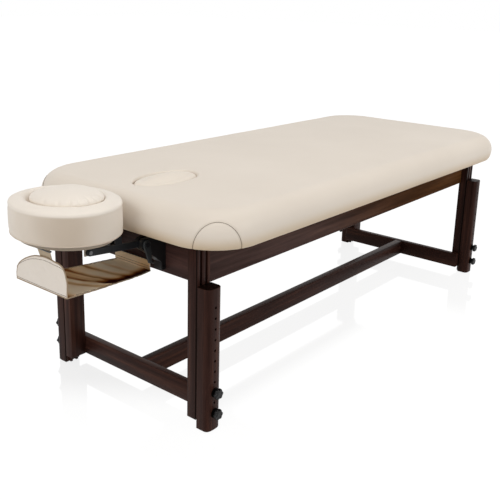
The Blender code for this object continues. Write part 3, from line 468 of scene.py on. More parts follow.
def soften(node_name, body):
    """The member's own solid with rounded edges, and with a groove where post and leg meet, its faces
    darkened as painted shade.
    """
    source = NODES[node_name]
    low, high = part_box(node_name)
    bm = bmesh.new()
    bm.from_mesh(source.data)
    bm.transform(source.matrix_world)
    bmesh.ops.remove_doubles(bm, verts=bm.verts, dist=1e-6)
    bmesh.ops.dissolve_limit(bm, angle_limit=math.radians(0.5), verts=bm.verts, edges=bm.edges)
    jointed = node_name.startswith(("post", "leg_"))

    def at_joint(place, reach):
        return abs(abs(place.y) - JOINT_Y) < reach and min(place.x - low[0], high[0] - place.x) < reach

    if jointed:
        bevel(bm, [edge for edge in bm.edges if edge.calc_length() > JOINT_EDGE
                   and all(at_joint(vertex.co, JOINT_SLACK) for vertex in edge.verts)], JOINT_BEVEL, 1)
    bevel(bm, [edge for edge in bm.edges if edge.is_manifold and edge.calc_length() > SHORTEST_EDGE
               and edge.calc_face_angle() > math.radians(40)], EDGE_ROUND, 3)
    if node_name.startswith("side_rail"):
        end = min(vertex.co.x for vertex in bm.verts)
        for vertex in bm.verts:
            if vertex.co.x < end + RAIL_END:
                vertex.co.x += RAIL_TRIM
    member = add_mesh(node_name + "_wood", bm, finish_of(node_name))
    sharpen(member, 28)
    if jointed:
        # Painted shade on the groove's faces, and dark end grain on the top face
        member.data.materials.append(GAP_SHADE_AND_END_GRAIN_WOOD)
        for face in member.data.polygons:
            grooved = at_joint(face.center, GAP_SHADE_REACH) and abs(face.normal.z) < 0.3
            on_top = face.normal.z > 0.97 and face.center.z > high[2] - 0.001
            if grooved or on_top:
                face.material_index = 1
    dress(member, body, node_name)


for node_name in NODES:
    if node_name.startswith(FRAME_WOOD):
        soften(node_name, "frame")
    elif node_name.startswith("leg_"):
        soften(node_name, node_name)


# Padded top

PAD_LOW, PAD_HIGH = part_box("massage_pad")
PAD_X = (PAD_LOW[0] + PAD_HIGH[0]) / 2
PAD_LENGTH = PAD_HIGH[0] - PAD_LOW[0]
PAD_WIDTH = PAD_HIGH[1] - PAD_LOW[1]
PAD_BOTTOM = PAD_LOW[2]
BOARD_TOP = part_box("deck_board")[1][2]
PAD_CROWN = 0.004
PAD_TOP = PAD_HIGH[2] - PAD_CROWN
PAD_RADIUS, LEAST_RADIUS = 0.150, 0.03
COVER_TUCK = 0.0245
TOP_ROUND = 0.056
BULGE_Z = PAD_BOTTOM + 0.040
CORNER_POINTS, LONG_POINTS, SHORT_POINTS = 72, 90, 26
FIRST_SIDE = 3
SEAM_HALF_WIDTH, SEAM_HEIGHT, SEAM_REACH = 0.063, 0.085, 0.02
PANEL_BELLY = 0.042
HOLE_GAP, HOLE_LIP = 0.0006, 0.011


def pad_ring(inset, height):
    """One closed outline of the pad, with its points crowded at the corners."""
    radius = max(PAD_RADIUS - 0.55 * inset, LEAST_RADIUS)
    x, y = PAD_LENGTH / 2 - inset - radius, PAD_WIDTH / 2 - inset - radius
    points = []
    corners = ((x, y), (-x, y), (-x, -y), (x, -y))
    for number, (cx, cy) in enumerate(corners):
        for step in range(CORNER_POINTS):
            angle = math.radians(90 * number + 90 * step / (CORNER_POINTS - 1))
            points.append((PAD_X + cx + radius * math.cos(angle), cy + radius * math.sin(angle), height))
        from_x, from_y, _ = points[-1]
        to_x, to_y = corners[(number + 1) % 4]
        count = LONG_POINTS if number % 2 == 0 else SHORT_POINTS
        for step in range(1, count):
            share = step / count
            points.append((from_x + (to_x - cx) * share, from_y + (to_y - cy) * share, height))
    return points


def pad_profile():
    """Inset and height along the cover: tucked in below, round the side and over the crowned top."""
    points = [(COVER_TUCK, BOARD_TOP + 0.0006), (COVER_TUCK, PAD_BOTTOM + 0.004),
              (0.022, PAD_BOTTOM + 0.001), (0.016, PAD_BOTTOM)]
    points += quarter(points[-1], (0.0, BULGE_Z), 16, rising=False)
    points += quarter(points[-1], (TOP_ROUND, PAD_TOP), 30, rising=True)
    for step in range(1, 19):
        share = (step / 20) ** 1.4
        points.append((TOP_ROUND + (PAD_WIDTH / 2 - TOP_ROUND) * share,
                       PAD_TOP + PAD_CROWN * math.sin(share * math.pi / 2)))
    return points


PROFILE = pad_profile()
RINGS = [pad_ring(inset, height) for inset, height in PROFILE]


def corner_column(number):
    """Index of the middle point of a rounded corner."""
    column = CORNER_POINTS // 2
    for before in range(number):
        column += CORNER_POINTS + (LONG_POINTS if before % 2 == 0 else SHORT_POINTS) - 1
    return column


HEAD_CORNERS = {"far": corner_column(1), "near": corner_column(2)}


def surface_point(row, column):
    """Point on the pad's skin at a fractional row and column."""
    row = min(max(row, 0), len(RINGS) - 1.001)
    r, c = int(math.floor(row)), int(math.floor(column))
    fr, fc = row - r, column - c

    def along(ring):
        return Vector(ring[c % len(ring)]) * (1 - fc) + Vector(ring[(c + 1) % len(ring)]) * fc

    return along(RINGS[r]) * (1 - fr) + along(RINGS[r + 1]) * fr


def row_at(length):
    """Fractional profile row at a length up the skin from the bottom edge."""
    for row in range(FIRST_SIDE, len(PROFILE) - 1):
        (a, b), (c, d) = PROFILE[row], PROFILE[row + 1]
        step = math.hypot(c - a, d - b)
        if length <= step:
            return row + length / step
        length -= step
    return len(PROFILE) - 1.001


def corner_seam(middle, steps=90):
    """Arched seam of the sewn corner panel, from bottom edge to bottom edge."""
    spacing = (Vector(RINGS[FIRST_SIDE][middle + 1]) - Vector(RINGS[FIRST_SIDE][middle])).length
    path = []
    for step in range(steps + 1):
        angle = math.pi * step / steps
        reach = SEAM_HALF_WIDTH * math.cos(angle) / spacing
        path.append(surface_point(row_at(SEAM_HEIGHT * math.sin(angle)), middle + reach))
    return path


SEAMS = {side: corner_seam(column) for side, column in HEAD_CORNERS.items()}
SEAM_POINTS = [point for seam in SEAMS.values() for point in seam]
PANEL_FEET = [surface_point(FIRST_SIDE, column) for column in HEAD_CORNERS.values()]
PANEL_BELLIES = [surface_point(row_at(PANEL_BELLY), column) for column in HEAD_CORNERS.values()]


def seam_sink(point):
    """How far the cover is drawn in at a corner seam, less the stuffing that swells beside it."""
    if all((point - foot).length >= SEAM_HEIGHT + SEAM_REACH for foot in PANEL_FEET):
        return 0.0
    gap = min((point - seam).length for seam in SEAM_POINTS)
    belly = min((point - spot).length for spot in PANEL_BELLIES)
    sink = 0.0014 * hump(gap, 0.0024) - 0.0005 * hump(gap - 0.007, 0.004)
    return sink - 0.0016 * hump(belly, 0.034, 4) * min(1.0, gap / 0.006)


def cut_face_hole(pad):
    (cx, _), (half_x, half_y) = plan("face_hole_plug")
    half_x, half_y = half_x + HOLE_GAP, half_y + HOLE_GAP
    wall_top, mouth = (0.0, PAD_HIGH[2] - HOLE_LIP), (-0.010, PAD_HIGH[2] + 0.0002)
    flare = [(0.0, BOARD_TOP - 0.01), wall_top] + quarter(wall_top, mouth, 9, rising=True)
    flare.append((-0.0105, PAD_HIGH[2] + 0.02))
    rings = [[(cx + x, y, z) for x, y in ellipse(half_x - inset, half_y - inset, 120)] for inset, z in flare]
    cutter = skin("hole_cutter", rings, CREAM_PAD)
    hole = pad.modifiers.new("face_hole", "BOOLEAN")
    hole.operation, hole.object, hole.solver = "DIFFERENCE", cutter, "EXACT"
    graph = bpy.context.evaluated_depsgraph_get()
    mesh = bpy.data.meshes.new_from_object(pad.evaluated_get(graph))
    pad.modifiers.clear()
    bpy.data.objects.remove(cutter, do_unlink=True)
    pad.data = mesh
    mesh.shade_smooth()
    sharpen(pad, 50)


def build_pad():
    middle = Vector((PAD_X, 0, BULGE_Z))
    rings = [[Vector(place) for place in ring] for ring in RINGS]
    for ring in rings[FIRST_SIDE:]:
        for point in ring:
            ripple = 0.0007 * wobble(point, 0.16) + 0.00025 * wobble(point, 0.045, 3.0)
            inward = middle - point
            inward.x *= 0.6
            point += Vector((0, 0, 1)) * ripple * 0.6 + inward.normalized() * seam_sink(point)
    pad = skin("pad_cover", rings, CREAM_PAD)
    cut_face_hole(pad)
    dress(pad, "frame", "massage_pad")
    for side, seam in SEAMS.items():
        dress(tube("pad_corner_seam_" + side, [seam], 0.0005, THREAD), "frame")


build_pad()


# Plug of the face hole, a trim smaller than its solid and set off its middle

PLUG_RIM = PAD_TOP + PAD_CROWN - 0.0010
PLUG_CROWN, PLUG_EDGE, PLUG_DROP, PLUG_PLEAT = 0.0125, 0.018, 0.012, 0.0004
PLUG_TRIM, PLUG_SHIFT = 0.0014, (0.0012, -0.0008)
PLUG_POINTS, DOME_ROWS = 240, 18


def build_hole_plug():
    """Upholstered plug: straight wall, rounded and pleated rim, domed top."""
    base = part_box("face_hole_plug")[0][2]
    (cx, cy), (half_x, half_y) = plan("face_hole_plug")
    cx, cy = cx + PLUG_SHIFT[0], cy + PLUG_SHIFT[1]
    half_x, half_y = half_x - PLUG_TRIM, half_y - PLUG_TRIM
    wall_top = PLUG_RIM - PLUG_DROP
    profile = [(0.004, base + 0.0002), (0.0015, base + 0.004), (0.0, base + 0.012), (0.0, wall_top)]
    profile += quarter(profile[-1], (PLUG_EDGE, PLUG_RIM), 12, rising=True)
    for step in range(1, DOME_ROWS):
        share = step / DOME_ROWS
        profile.append((PLUG_EDGE + (half_y - PLUG_EDGE) * share,
                        PLUG_RIM + PLUG_CROWN * math.sin(share * math.pi / 2) ** 0.9))
    rings = []
    for inset, height in profile:
        near_rim = hump(inset - PLUG_EDGE * 0.45, PLUG_EDGE * 0.75) if height > wall_top else 0.0
        if inset <= PLUG_EDGE:
            shape = ellipse(half_x - inset, half_y - inset, PLUG_POINTS)
        else:
            share = (half_y - inset) / (half_y - PLUG_EDGE)
            shape = ellipse((half_x - PLUG_EDGE) * share, (half_y - PLUG_EDGE) * share, PLUG_POINTS)
        ring = []
        for angle, (x, y) in zip(turns(PLUG_POINTS), shape):
            tuck = noise.noise((math.cos(angle) * 3.1, math.sin(angle) * 3.1, 4.2))
            fold = 1 - abs(math.sin(17 * angle + 3 * tuck)) ** 0.55
            pleat = PLUG_PLEAT * near_rim * fold * max(0.0, 0.45 + 1.2 * tuck)
            ripple = 0.0010 * noise.noise((x * 18, y * 18, 1.7)) if height > PLUG_RIM - 0.004 else 0.0
            shrink = 1 - 0.5 * pleat / half_y
            ring.append((cx + x * shrink, cy + y * shrink, height - pleat + ripple))
        rings.append(ring)
    # The hole plug takes the lighter vinyl copy, as painted light
    dress(skin("hole_plug_cover", rings, CREAM_PLUG_PAINTED_LIGHT), "hole_plug", "face_hole_plug")


build_hole_plug()


# Face cushion and the plug that fills it

CUSHION_POINTS, RING_WIDTH = 240, 0.051
# Painted shade on the cushion's side: where round the side it is deepest, and how far it reaches either way,
# in degrees
SIDE_DEEPEST, SIDE_REACH = 130.0, (38.0, 36.0)
WELT_SHARE, WELT_HEIGHT, WELT_RADIUS = 0.962, 0.0040, 0.0013
STUFFED_POINTS, STUFFED_ROWS = 360, 34
NOTCH_DEPTH, NOTCH_DIP, SLUMP = 0.0046, 0.0030, 0.0085
FULL_SIDE = math.radians(-88)
# Gathers round the plug's edge: place in degrees, depth, half width in degrees
NOTCHES = ((-168, 0.45, 3.0), (-143, 0.50, 2.6), (-126, 0.80, 3.0), (-112, 0.45, 2.2), (-94, 1.00, 3.2),
           (-82, 0.60, 2.4), (-66, 0.95, 3.0), (-49, 0.50, 2.4), (-30, 1.00, 3.4), (-12, 0.60, 2.6),
           (10, 0.90, 3.0), (36, 0.55, 2.8), (64, 0.35, 2.6))
# Section of the ring cushion: share of its width from the outside, and height from its bottom or top
RING_OUTSIDE = ((0.10, 0.001), (0.03, 0.010), (0.0, 0.030))
RING_TOP = ((0.0, -0.020), (0.012, -0.008), (0.05, 0.0015), (0.12, 0.0075), (0.22, 0.0108), (0.35, 0.0110),
            (0.50, 0.0092), (0.65, 0.0070), (0.80, 0.0048), (0.90, 0.0030), (0.95, 0.0014), (0.975, -0.0010),
            (0.985, -0.0040), (0.981, -0.0066), (0.972, -0.0080), (0.978, -0.0105), (0.988, -0.019),
            (0.995, -0.032))
RING_INSIDE = ((0.992, 0.028), (0.980, 0.016), (0.966, 0.0080), (0.962, 0.0045), (0.94, 0.0012),
               (0.85, 0.0004), (0.60, 0.0004), (0.30, 0.0006))


def gather(angle):
    """Depth of the gathers at an angle round the plug's edge."""
    total = 0.0
    for place, depth, width in NOTCHES:
        away = (math.degrees(angle) - place + 180) % 360 - 180
        total += depth * hump(away, width)
    return total


def build_cushion_plug(top):
    """Stuffed lens on a straight stem, which spills over the ring at the front and slumps behind."""
    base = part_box("face_cushion_plug")[0][2]
    (cx, cy), (half_x, half_y) = plan("face_cushion_plug")
    widest, apex, spill = top + 0.0105, top + 0.0335, 0.0062
    rows = [(-0.004, base + 0.0002, 1.0), (-0.0015, base + 0.004, 1.0), (0.0, base + 0.012, 1.0),
            (0.0, top - 0.012, 1.0), (0.0, top - 0.005, 1.0), (0.0012, top - 0.001, 1.0),
            (0.0034, top + 0.0040, 1.0), (0.0053, top + 0.0076, 1.0)]
    for step in range(STUFFED_ROWS):
        angle = math.pi / 2 * step / STUFFED_ROWS
        rows.append((spill, widest + (apex - widest) * math.sin(angle), math.cos(angle) ** (2 / 2.7)))
    edge = []
    for angle in turns(STUFFED_POINTS):
        edge.append((angle, gather(angle), ((1 + math.cos(angle - FULL_SIDE)) / 2) ** 0.7))
    rings = []
    for out, height, scale in rows:
        ring = []
        above = clamp((height - top + 0.012) / 0.016)
        for angle, gathered, full in edge:
            notch = gathered * (above * hump(1 - scale, 0.16))
            reach = out * full if out > 0 else out
            reach -= NOTCH_DEPTH * notch + SLUMP * (1 - full) ** 1.5 * above
            x, y = (half_x + reach) * scale * math.cos(angle), (half_y + reach) * scale * math.sin(angle)
            dip = SLUMP * (1 - full) ** 1.2 * above * (0.25 + 0.75 * scale ** 2)
            swell = 0.0011 * noise.noise((x * 17, y * 17, 1.7)) * above
            ring.append((cx + x, cy + y, height - dip - NOTCH_DIP * notch + swell))
        rings.append(ring)
    # The stuffed plug takes the lighter vinyl copy, as painted light
    plug = skin("cushion_plug_cover", rings, CREAM_PAINTED_LIGHT)
    dress(plug, "cushion_plug", "face_cushion_plug")


def build_face_cushion():
    low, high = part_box("face_cushion")
    (cx, _), (outer_x, outer_y) = plan("face_cushion")
    bottom, top = low[2], high[2] - 0.001
    profile = [(share, bottom + rise) for share, rise in RING_OUTSIDE]
    profile += [(share, top + rise) for share, rise in RING_TOP]
    profile += [(share, bottom + rise) for share, rise in RING_INSIDE]
    rings = []
    for share, height in profile:
        ring = []
        reach = RING_WIDTH * (1 - share)
        for angle in turns(CUSHION_POINTS):
            c, s = math.cos(angle), math.sin(angle)
            crease = lift = 0.0
            if 0.96 < share and bottom + 0.012 < height < top - 0.012:
                crease = 0.0013 * noise.noise((c * 5.5, s * 5.5, height * 9))
                crease += 0.0006 * noise.noise((c * 17, s * 17, height * 14))
            if height > top - 0.009 and share < 0.95:
                slack = max(0.0, -0.75 * c + 0.66 * s) ** 2
                lift = 0.0010 * noise.noise((c * 3, s * 3, share * 2)) - 0.0050 * slack * hump(share, 0.34)
            ring.append((cx + (outer_x - reach + crease) * c, (outer_y - reach + crease) * s, height + lift))
        rings.append(ring)
    # The ring's cover: painted light from the lighter vinyl copy, and painted shade on its side
    cushion = skin("face_cushion_cover", rings, CREAM_RING, closed=True)

    def painted_side_shade(place):
        """How far the painted shade on the side shows: deepest toward the head corner, none on top."""
        x, y = (place.x - cx) / outer_x, place.y / outer_y
        if x * x + y * y < 0.7 or place.z > top - 0.003:
            return 0.0
        turn = (math.degrees(math.atan2(y, x)) + SIDE_DEEPEST + 180) % 360 - 180
        deep = 0.22 + 0.62 * hump(turn, SIDE_REACH[0] if turn < 0 else SIDE_REACH[1])
        below = min(1.0, (top - 0.003 - place.z) / 0.007)
        return clamp((deep + 0.07 * wobble(place, 0.05, 3.0)) * ease(below))

    # The side's painted shade, stored as the tone value that the ring's material reads
    store(cushion.data, "tone", [painted_side_shade(vertex.co) for vertex in cushion.data.vertices])
    dress(cushion, "cradle_head", "face_cushion")
    reach = RING_WIDTH * (1 - WELT_SHARE)
    outline = ellipse(outer_x - reach, outer_y - reach, CUSHION_POINTS)
    path = [(cx + x, y, bottom + WELT_HEIGHT) for x, y in outline]
    # The welt takes the darker vinyl copy, as painted shade
    welt = tube("face_cushion_welt", [path], WELT_RADIUS, CREAM_PAINTED_SHADE, cyclic=True)
    dress(welt, "cradle_head")
    build_cushion_plug(top)


build_face_cushion()


# Arm sling, its bindings, hem and strap

SLING_LOW, SLING_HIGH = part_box("arm_sling")
SLING_THICK = 0.0022
HEM_X, FOLD_X = SLING_HIGH[0] - 0.0015, SLING_LOW[0] + 0.0075
HEM_TOP, HEM_DROP, FOLD_Z = 0.432, 0.030, 0.420
PANEL_RISE = SLING_HIGH[2] - FOLD_Z
HEM_HALF, FOLD_HALF = 0.0735, SLING_HIGH[1]
FLOOR_SAG = 0.010
DROP_ROWS, FLOOR_ROWS, PANEL_ROWS = 14, 84, 40
FOLD_ROW = DROP_ROWS + FLOOR_ROWS
ALONG, ACROSS = FOLD_ROW + PANEL_ROWS, 72
STITCH, STITCH_GAP, WIDE_GAP, THREAD_RADIUS = 0.0030, 0.0012, 0.0014, 0.00055
# Top edge of the end panel: place from the near side to the far side, and share of the rise
PANEL_EDGE = ((-1.0, 0.46), (-0.96, 0.66), (-0.90, 0.82), (-0.79, 0.92), (-0.61, 0.97), (-0.36, 1.0),
              (-0.14, 0.985), (0.16, 0.925), (0.42, 0.81), (0.67, 0.655), (0.85, 0.49), (0.95, 0.33),
              (1.0, 0.18))
# Creases across the floor: share of the length at the near side, drift to the far side, half width, depth
CREASES = ((0.461, 0.140, 0.036, 0.78), (0.349, 0.120, 0.030, 0.58), (0.225, 0.075, 0.027, 0.50),
           (0.405, 0.130, 0.018, 0.24), (0.600, 0.150, 0.040, 0.40), (0.120, 0.030, 0.022, 0.24))
CREASE_START = 0.7


def panel_height(across):
    """Top edge of the end panel: a lopsided D, fullest toward the near side."""
    spots = PANEL_EDGE
    index = max(i for i in range(len(spots) - 1) if spots[i][0] <= across + 1e-9)

    def slope(i):
        a, b = spots[max(i - 1, 0)], spots[min(i + 1, len(spots) - 1)]
        return (b[1] - a[1]) / (b[0] - a[0])

    (x0, y0), (x1, y1) = spots[index], spots[index + 1]
    width, t = x1 - x0, (across - x0) / (x1 - x0)
    value = (2 * t ** 3 - 3 * t ** 2 + 1) * y0 + (t ** 3 - 2 * t ** 2 + t) * width * slope(index)
    value += (3 * t ** 2 - 2 * t ** 3) * y1 + (t ** 3 - t ** 2) * width * slope(index + 1)
    return PANEL_RISE * value


def panel_point(y, rise):
    """Point on the end panel at a height above the fold."""
    across = y / FOLD_HALF
    up = rise / PANEL_RISE
    lean = -0.0045 * up
    belly = -0.0030 * math.sin(math.pi * min(1.0, up)) * (1 - across * across)
    curl = 0.030 * max(0.0, -across - 0.62) ** 1.5 * up ** 0.5
    pucker = 0.0019 * wobble((y, rise, 0), 0.034, 7.0) + 0.0008 * wobble((y, rise, 0), 0.014, 1.0)
    return Vector((FOLD_X + lean + belly + curl + pucker * min(1.0, 6 * up), y, FOLD_Z + rise))


def floor_half(share):
    """Half width of the floor, which widens from the hem to the fold."""
    return HEM_HALF + (FOLD_HALF - HEM_HALF) * share ** 0.8


def floor_folds(share, across):
    """Height change of the sling floor's creases, and the shade painted into its creases, trough, fold and
    sides.
    """
    x, y = HEM_X + (FOLD_X - HEM_X) * share, floor_half(share) * across
    fade = math.sin(math.pi * clamp(share)) ** 0.5
    waver = 0.012 * wobble((x, y, 0), 0.06, 5.0)
    groove = 0.0
    for near_share, drift, width, depth in CREASES:
        away = share - near_share - drift * (across + CREASE_START) + waver
        # Along each crease this sets its depth and the strength of its painted shade
        painted_shade_strength = 0.80 + 0.35 * wobble((x * 2.0, y, near_share), 0.06, 9.0) - 0.14 * (across + CREASE_START)
        groove += depth * painted_shade_strength * hump(away, width)
    middle = -0.90 + 2.6 * max(0.0, share - 0.20) ** 1.4
    trough = hump(across - middle, 0.29 - 0.16 * share) * clamp((0.52 - share) / 0.12)
    held = max(0.0, 1 - across ** 6)
    height = -0.0040 * groove * held - (0.0020 + 0.0055 * held) * trough * fade
    height += 0.0011 * wobble((x * 1.6, y * 0.7, 0), 0.020, 2.0) * fade
    fold = (0.42 - 0.25 * across) * hump(1 - share, 0.075)
    side = 0.06 * clamp(0.55 - across) * clamp((0.62 - share) / 0.15) * min(1.0, share / 0.1)
    back = 0.26 * clamp((across + 0.10) / 0.9) * clamp((share - 0.22) / 0.3)
    shade = groove + trough + fold + side + back + 0.08 * wobble((x, y, 0), 0.05, 4.0) * fade
    return height, clamp(shade)


def sling_point(row, across):
    """Point of the cloth: down the hem, along the floor, up the end panel."""
    low_z = HEM_TOP - HEM_DROP
    if row <= DROP_ROWS:
        share = row / DROP_ROWS
        bow = 0.0012 * math.sin(math.pi * share)
        return Vector((HEM_X - bow, HEM_HALF * across, HEM_TOP - HEM_DROP * share))
    if row <= FOLD_ROW:
        share = (row - DROP_ROWS) / FLOOR_ROWS
        sag = FLOOR_SAG * math.sin(math.pi * share) * (1 - 0.80 * across * across)
        z = low_z + (FOLD_Z - low_z) * share - sag + floor_folds(share, across)[0]
        return Vector((HEM_X + (FOLD_X - HEM_X) * share, floor_half(share) * across, z))
    share = (row - FOLD_ROW) / PANEL_ROWS
    return panel_point(FOLD_HALF * across, panel_height(across) * share)


def sling_shade(row, across):
    """Painted shade of the lining: darker toward the hem's near, lower corner, in the floor's creases and
    trough, and low on the panel.
    """
    if row < DROP_ROWS:
        return 0.10 + 0.42 * max(0.0, -across - 0.15) * (0.35 + 0.65 * row / DROP_ROWS)
    if row <= FOLD_ROW:
        return floor_folds((row - DROP_ROWS) / FLOOR_ROWS, across)[1]
    return 0.55 - 0.35 * (row - FOLD_ROW) / PANEL_ROWS


def span(count, reach=1.0):
    """Places across the cloth from the near side to the far side."""
    return [-reach + 2 * reach * step / count for step in range(count + 1)]


def build_sling():
    bm = bmesh.new()
    rows = range(ALONG + 1)
    sheet_faces(bm, [[bm.verts.new(sling_point(row, across)) for across in span(ACROSS)] for row in rows])
    mesh = bpy.data.meshes.new("arm_sling_cloth")
    bm.normal_update()
    bm.to_mesh(mesh)
    bm.free()
    mesh.shade_smooth()
    # The lining's painted shade, stored as the crease value
    store(mesh, "crease", [sling_shade(row, across) for row in rows for across in span(ACROSS)])
    middle = mesh.polygons[(DROP_ROWS + FLOOR_ROWS // 2) * ACROSS + ACROSS // 2]
    if middle.normal.z > 0:
        mesh.flip_normals()
    sling = place_object("arm_sling_cloth", mesh)
    mesh.materials.append(CREAM_SLING)
    mesh.materials.append(LINING_PAINTED_SHADE)
    shell = sling.modifiers.new("sheet", "SOLIDIFY")
    shell.thickness = SLING_THICK
    shell.offset = 0.0
    shell.material_offset = 1
    dress(sling, "sling", "arm_sling")
    return sling


def inset_line(points, gap):
    """The panel's outline moved inward by a gap, kept above the fold."""
    moved = []
    for index in range(1, len(points) - 1):
        (y0, r0), (y1, r1) = points[index - 1], points[index + 1]
        length = math.hypot(y1 - y0, r1 - r0)
        y = points[index][0] + gap * (r1 - r0) / length
        rise = points[index][1] - gap * abs(y1 - y0) / length
        if rise > 0.006 and abs(y) < FOLD_HALF - gap * 0.5:
            moved.append((y, rise))
    return moved


def stitches(path, gap, lift):
    """Short thread runs along a path, lifted off the cloth."""
    runs = []
    travelled = 0.0
    for a, b in zip(path, path[1:]):
        if travelled % (STITCH + gap) < STITCH:
            runs.append([a + lift, b + lift])
        travelled += (b - a).length
    return runs


def build_sling_trim():
    """Bindings on the edges and the fold, and the rows of stitches."""
    outline = [(FOLD_HALF * across, panel_height(across)) for across in reversed(span(150))]
    rows = range(DROP_ROWS, ALONG + 1)
    near_edge, far_edge = [[sling_point(row, end) for row in rows] for end in (-1.0, 1.0)]
    fold = [sling_point(FOLD_ROW, across) + Vector((-0.0014, 0, 0.0006)) for across in span(90)]
    made = [tube("sling_binding_top", [[panel_point(*spot) for spot in outline]], 0.0019, BINDING),
            tube("sling_binding_near", [near_edge], 0.0017, BINDING),
            tube("sling_binding_far", [far_edge], 0.0017, BINDING),
            tube("sling_binding_fold", [fold], 0.0015, BINDING)]
    out, up = Vector((-0.0013, 0, 0)), Vector((0, 0, 0.0014))
    runs = stitches([panel_point(*spot) for spot in inset_line(outline, 0.0085)], STITCH_GAP, out)
    runs += stitches([panel_point(FOLD_HALF * across, 0.0055) for across in span(140, 0.98)], WIDE_GAP, out)
    for row in (DROP_ROWS * 0.55, DROP_ROWS * 0.80):
        runs += stitches([sling_point(row, across) for across in span(120)], STITCH_GAP, out)
    for across in (-0.955, 0.955):
        runs += stitches([sling_point(row, across) for row in range(DROP_ROWS, FOLD_ROW + 1)], WIDE_GAP, up)
    made.append(tube("sling_stitches", runs, THREAD_RADIUS, THREAD, sides=1))
    for piece in made:
        dress(piece, "sling")
    return made


STRAP_LOW, STRAP_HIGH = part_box("sling_strap")
STRAP_RISE = STRAP_HIGH[2] - STRAP_LOW[2]
STRAP_THICK = 0.0009
STRAP_ROWS, STRAP_COLUMNS = 24, 16


def strap_line(share):
    """Centre and half width of the hanging strap at a share of its height."""
    middle = (STRAP_LOW[0] + STRAP_HIGH[0]) / 2
    tuck = 0.0090 - 0.0050 * share ** 2
    x = middle + tuck - 0.0010 * math.sin(math.pi * share)
    return Vector((x, -0.034 + 0.015 * share, STRAP_LOW[2] + STRAP_RISE * share)), 0.0235 + 0.0035 * share


def build_strap():
    rings = []
    for step in range(STRAP_ROWS + 1):
        share = step / STRAP_ROWS
        centre, half = strap_line(share)
        front, back = [], []
        for across in span(STRAP_COLUMNS):
            bow = 0.0009 * math.sin(2.6 * across + 3 * share) + 0.0008 * across * across
            front.append(centre + Vector((bow - STRAP_THICK, half * across, 0)))
            back.append(centre + Vector((bow + STRAP_THICK, half * across, 0)))
        rings.append(front + back[::-1])
    strap = skin("sling_strap_tape", rings, WEBBING)
    sharpen(strap, 50)
    dress(strap, "sling", "sling_strap")


def build_strap_loop():
    """Wire loop that the strap runs through, a little above the buckle's solid."""
    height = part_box("strap_buckle")[1][2] + 0.004
    centre, half = strap_line((height - STRAP_LOW[2]) / STRAP_RISE)
    loop = []
    for end, start in ((1, -90), (-1, 90)):
        for step in range(9):
            angle = math.radians(start + 180 * step / 8)
            across = end * (half + 0.0006) + 0.0026 * math.cos(angle)
            loop.append(centre + Vector((0.0030 * math.sin(angle), across, 0)))
    dress(tube("strap_loop", [loop], 0.0016, SLATE, cyclic=True), "sling", "strap_buckle")


sling_cloth = build_sling()
sling_trim = build_sling_trim()
build_strap()
build_strap_loop()


# Star knobs

KNOB_SIDES, KNOB_LOBES = 96, 6
FLANGE_RINGS = slice(1 * KNOB_SIDES, 7 * KNOB_SIDES)


def knob_rings():
    """Stud, flange, neck and lobed grip with soft edges, pointing out along +Z."""
    low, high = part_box("knob_head_near_upper")
    grip = (high[0] - low[0]) / 2
    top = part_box("leg_head_near")[0][1] - low[1]
    stud, neck, flange = 0.0037, 0.0075, 0.0134
    stud_end, base = -0.0440, 0.0083
    rows = ((stud, 0, stud_end), (stud, 0, 0.0003), (flange, 0, 0.0003), (flange + 0.0003, 0, 0.0010),
            (flange - 0.0004, 0, 0.0019), (neck + 0.0008, 0, 0.0023), (neck, 0, 0.0030),
            (neck, 0, base - 0.0012), (neck * 1.15, 0.0002, base), (grip - 0.0032, 0.0020, base),
            (grip - 0.0012, 0.0026, base + 0.0008), (grip - 0.0002, 0.0028, base + 0.0024),
            (grip, 0.0028, base + 0.0050), (grip - 0.0002, 0.0028, top - 0.0038),
            (grip - 0.0010, 0.0026, top - 0.0018), (grip - 0.0026, 0.0020, top - 0.0006),
            (grip - 0.0048, 0.0012, top), (0.0078, 0.0002, top), (0.0074, 0, top - 0.0007),
            (0.0030, 0, top - 0.0007), (0.0005, 0, top - 0.0007))
    rings = []
    for radius, depth, height in rows:
        ring = []
        for angle in turns(KNOB_SIDES):
            reach = radius - depth * (1 - math.cos(KNOB_LOBES * angle)) / 2
            ring.append(Vector((reach * math.cos(angle), reach * math.sin(angle), height)))
        rings.append(ring)
    return rings


def build_knob(node, leg, out):
    (x, _), _ = plan(node)
    low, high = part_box(node)
    face_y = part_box(leg)[0 if out < 0 else 1][1]
    place = Vector((x, face_y, (low[2] + high[2]) / 2))
    turn = Matrix.Translation(place) @ Matrix.Rotation(-out * math.pi / 2, 4, "X")
    knob = skin(node + "_grip", [[turn @ point for point in ring] for ring in KNOB_RINGS], KNOB_BLACK)
    sharpen(knob, 40)
    knob.data.materials.append(FLANGE_BLACK)
    for face in knob.data.polygons[FLANGE_RINGS]:
        face.material_index = 1
    dress(knob, node, node)


KNOB_RINGS = knob_rings()
for end, side, level in product(ENDS, SIDES, ("upper", "lower")):
    build_knob("knob_%s_%s_%s" % (end, side, level), "leg_%s_%s" % (end, side), SIDES[side])


# Studio: floor, backdrop, lamps and camera

FLOOR_DROP, FLOOR_REACH, FLOOR_CELL = 0.0006, 30.0, 0.04
HEAD_GLOSS, FOOT_GLOSS, STRETCHER_GLOSS = (0.050, 0.180), (0.080, 0.140), 0.115
FRAME_MARGIN = 0.03
AMBIENT = 0.40
WARM, WARMER = (1.0, 0.985, 0.96), (1.0, 0.98, 0.95)
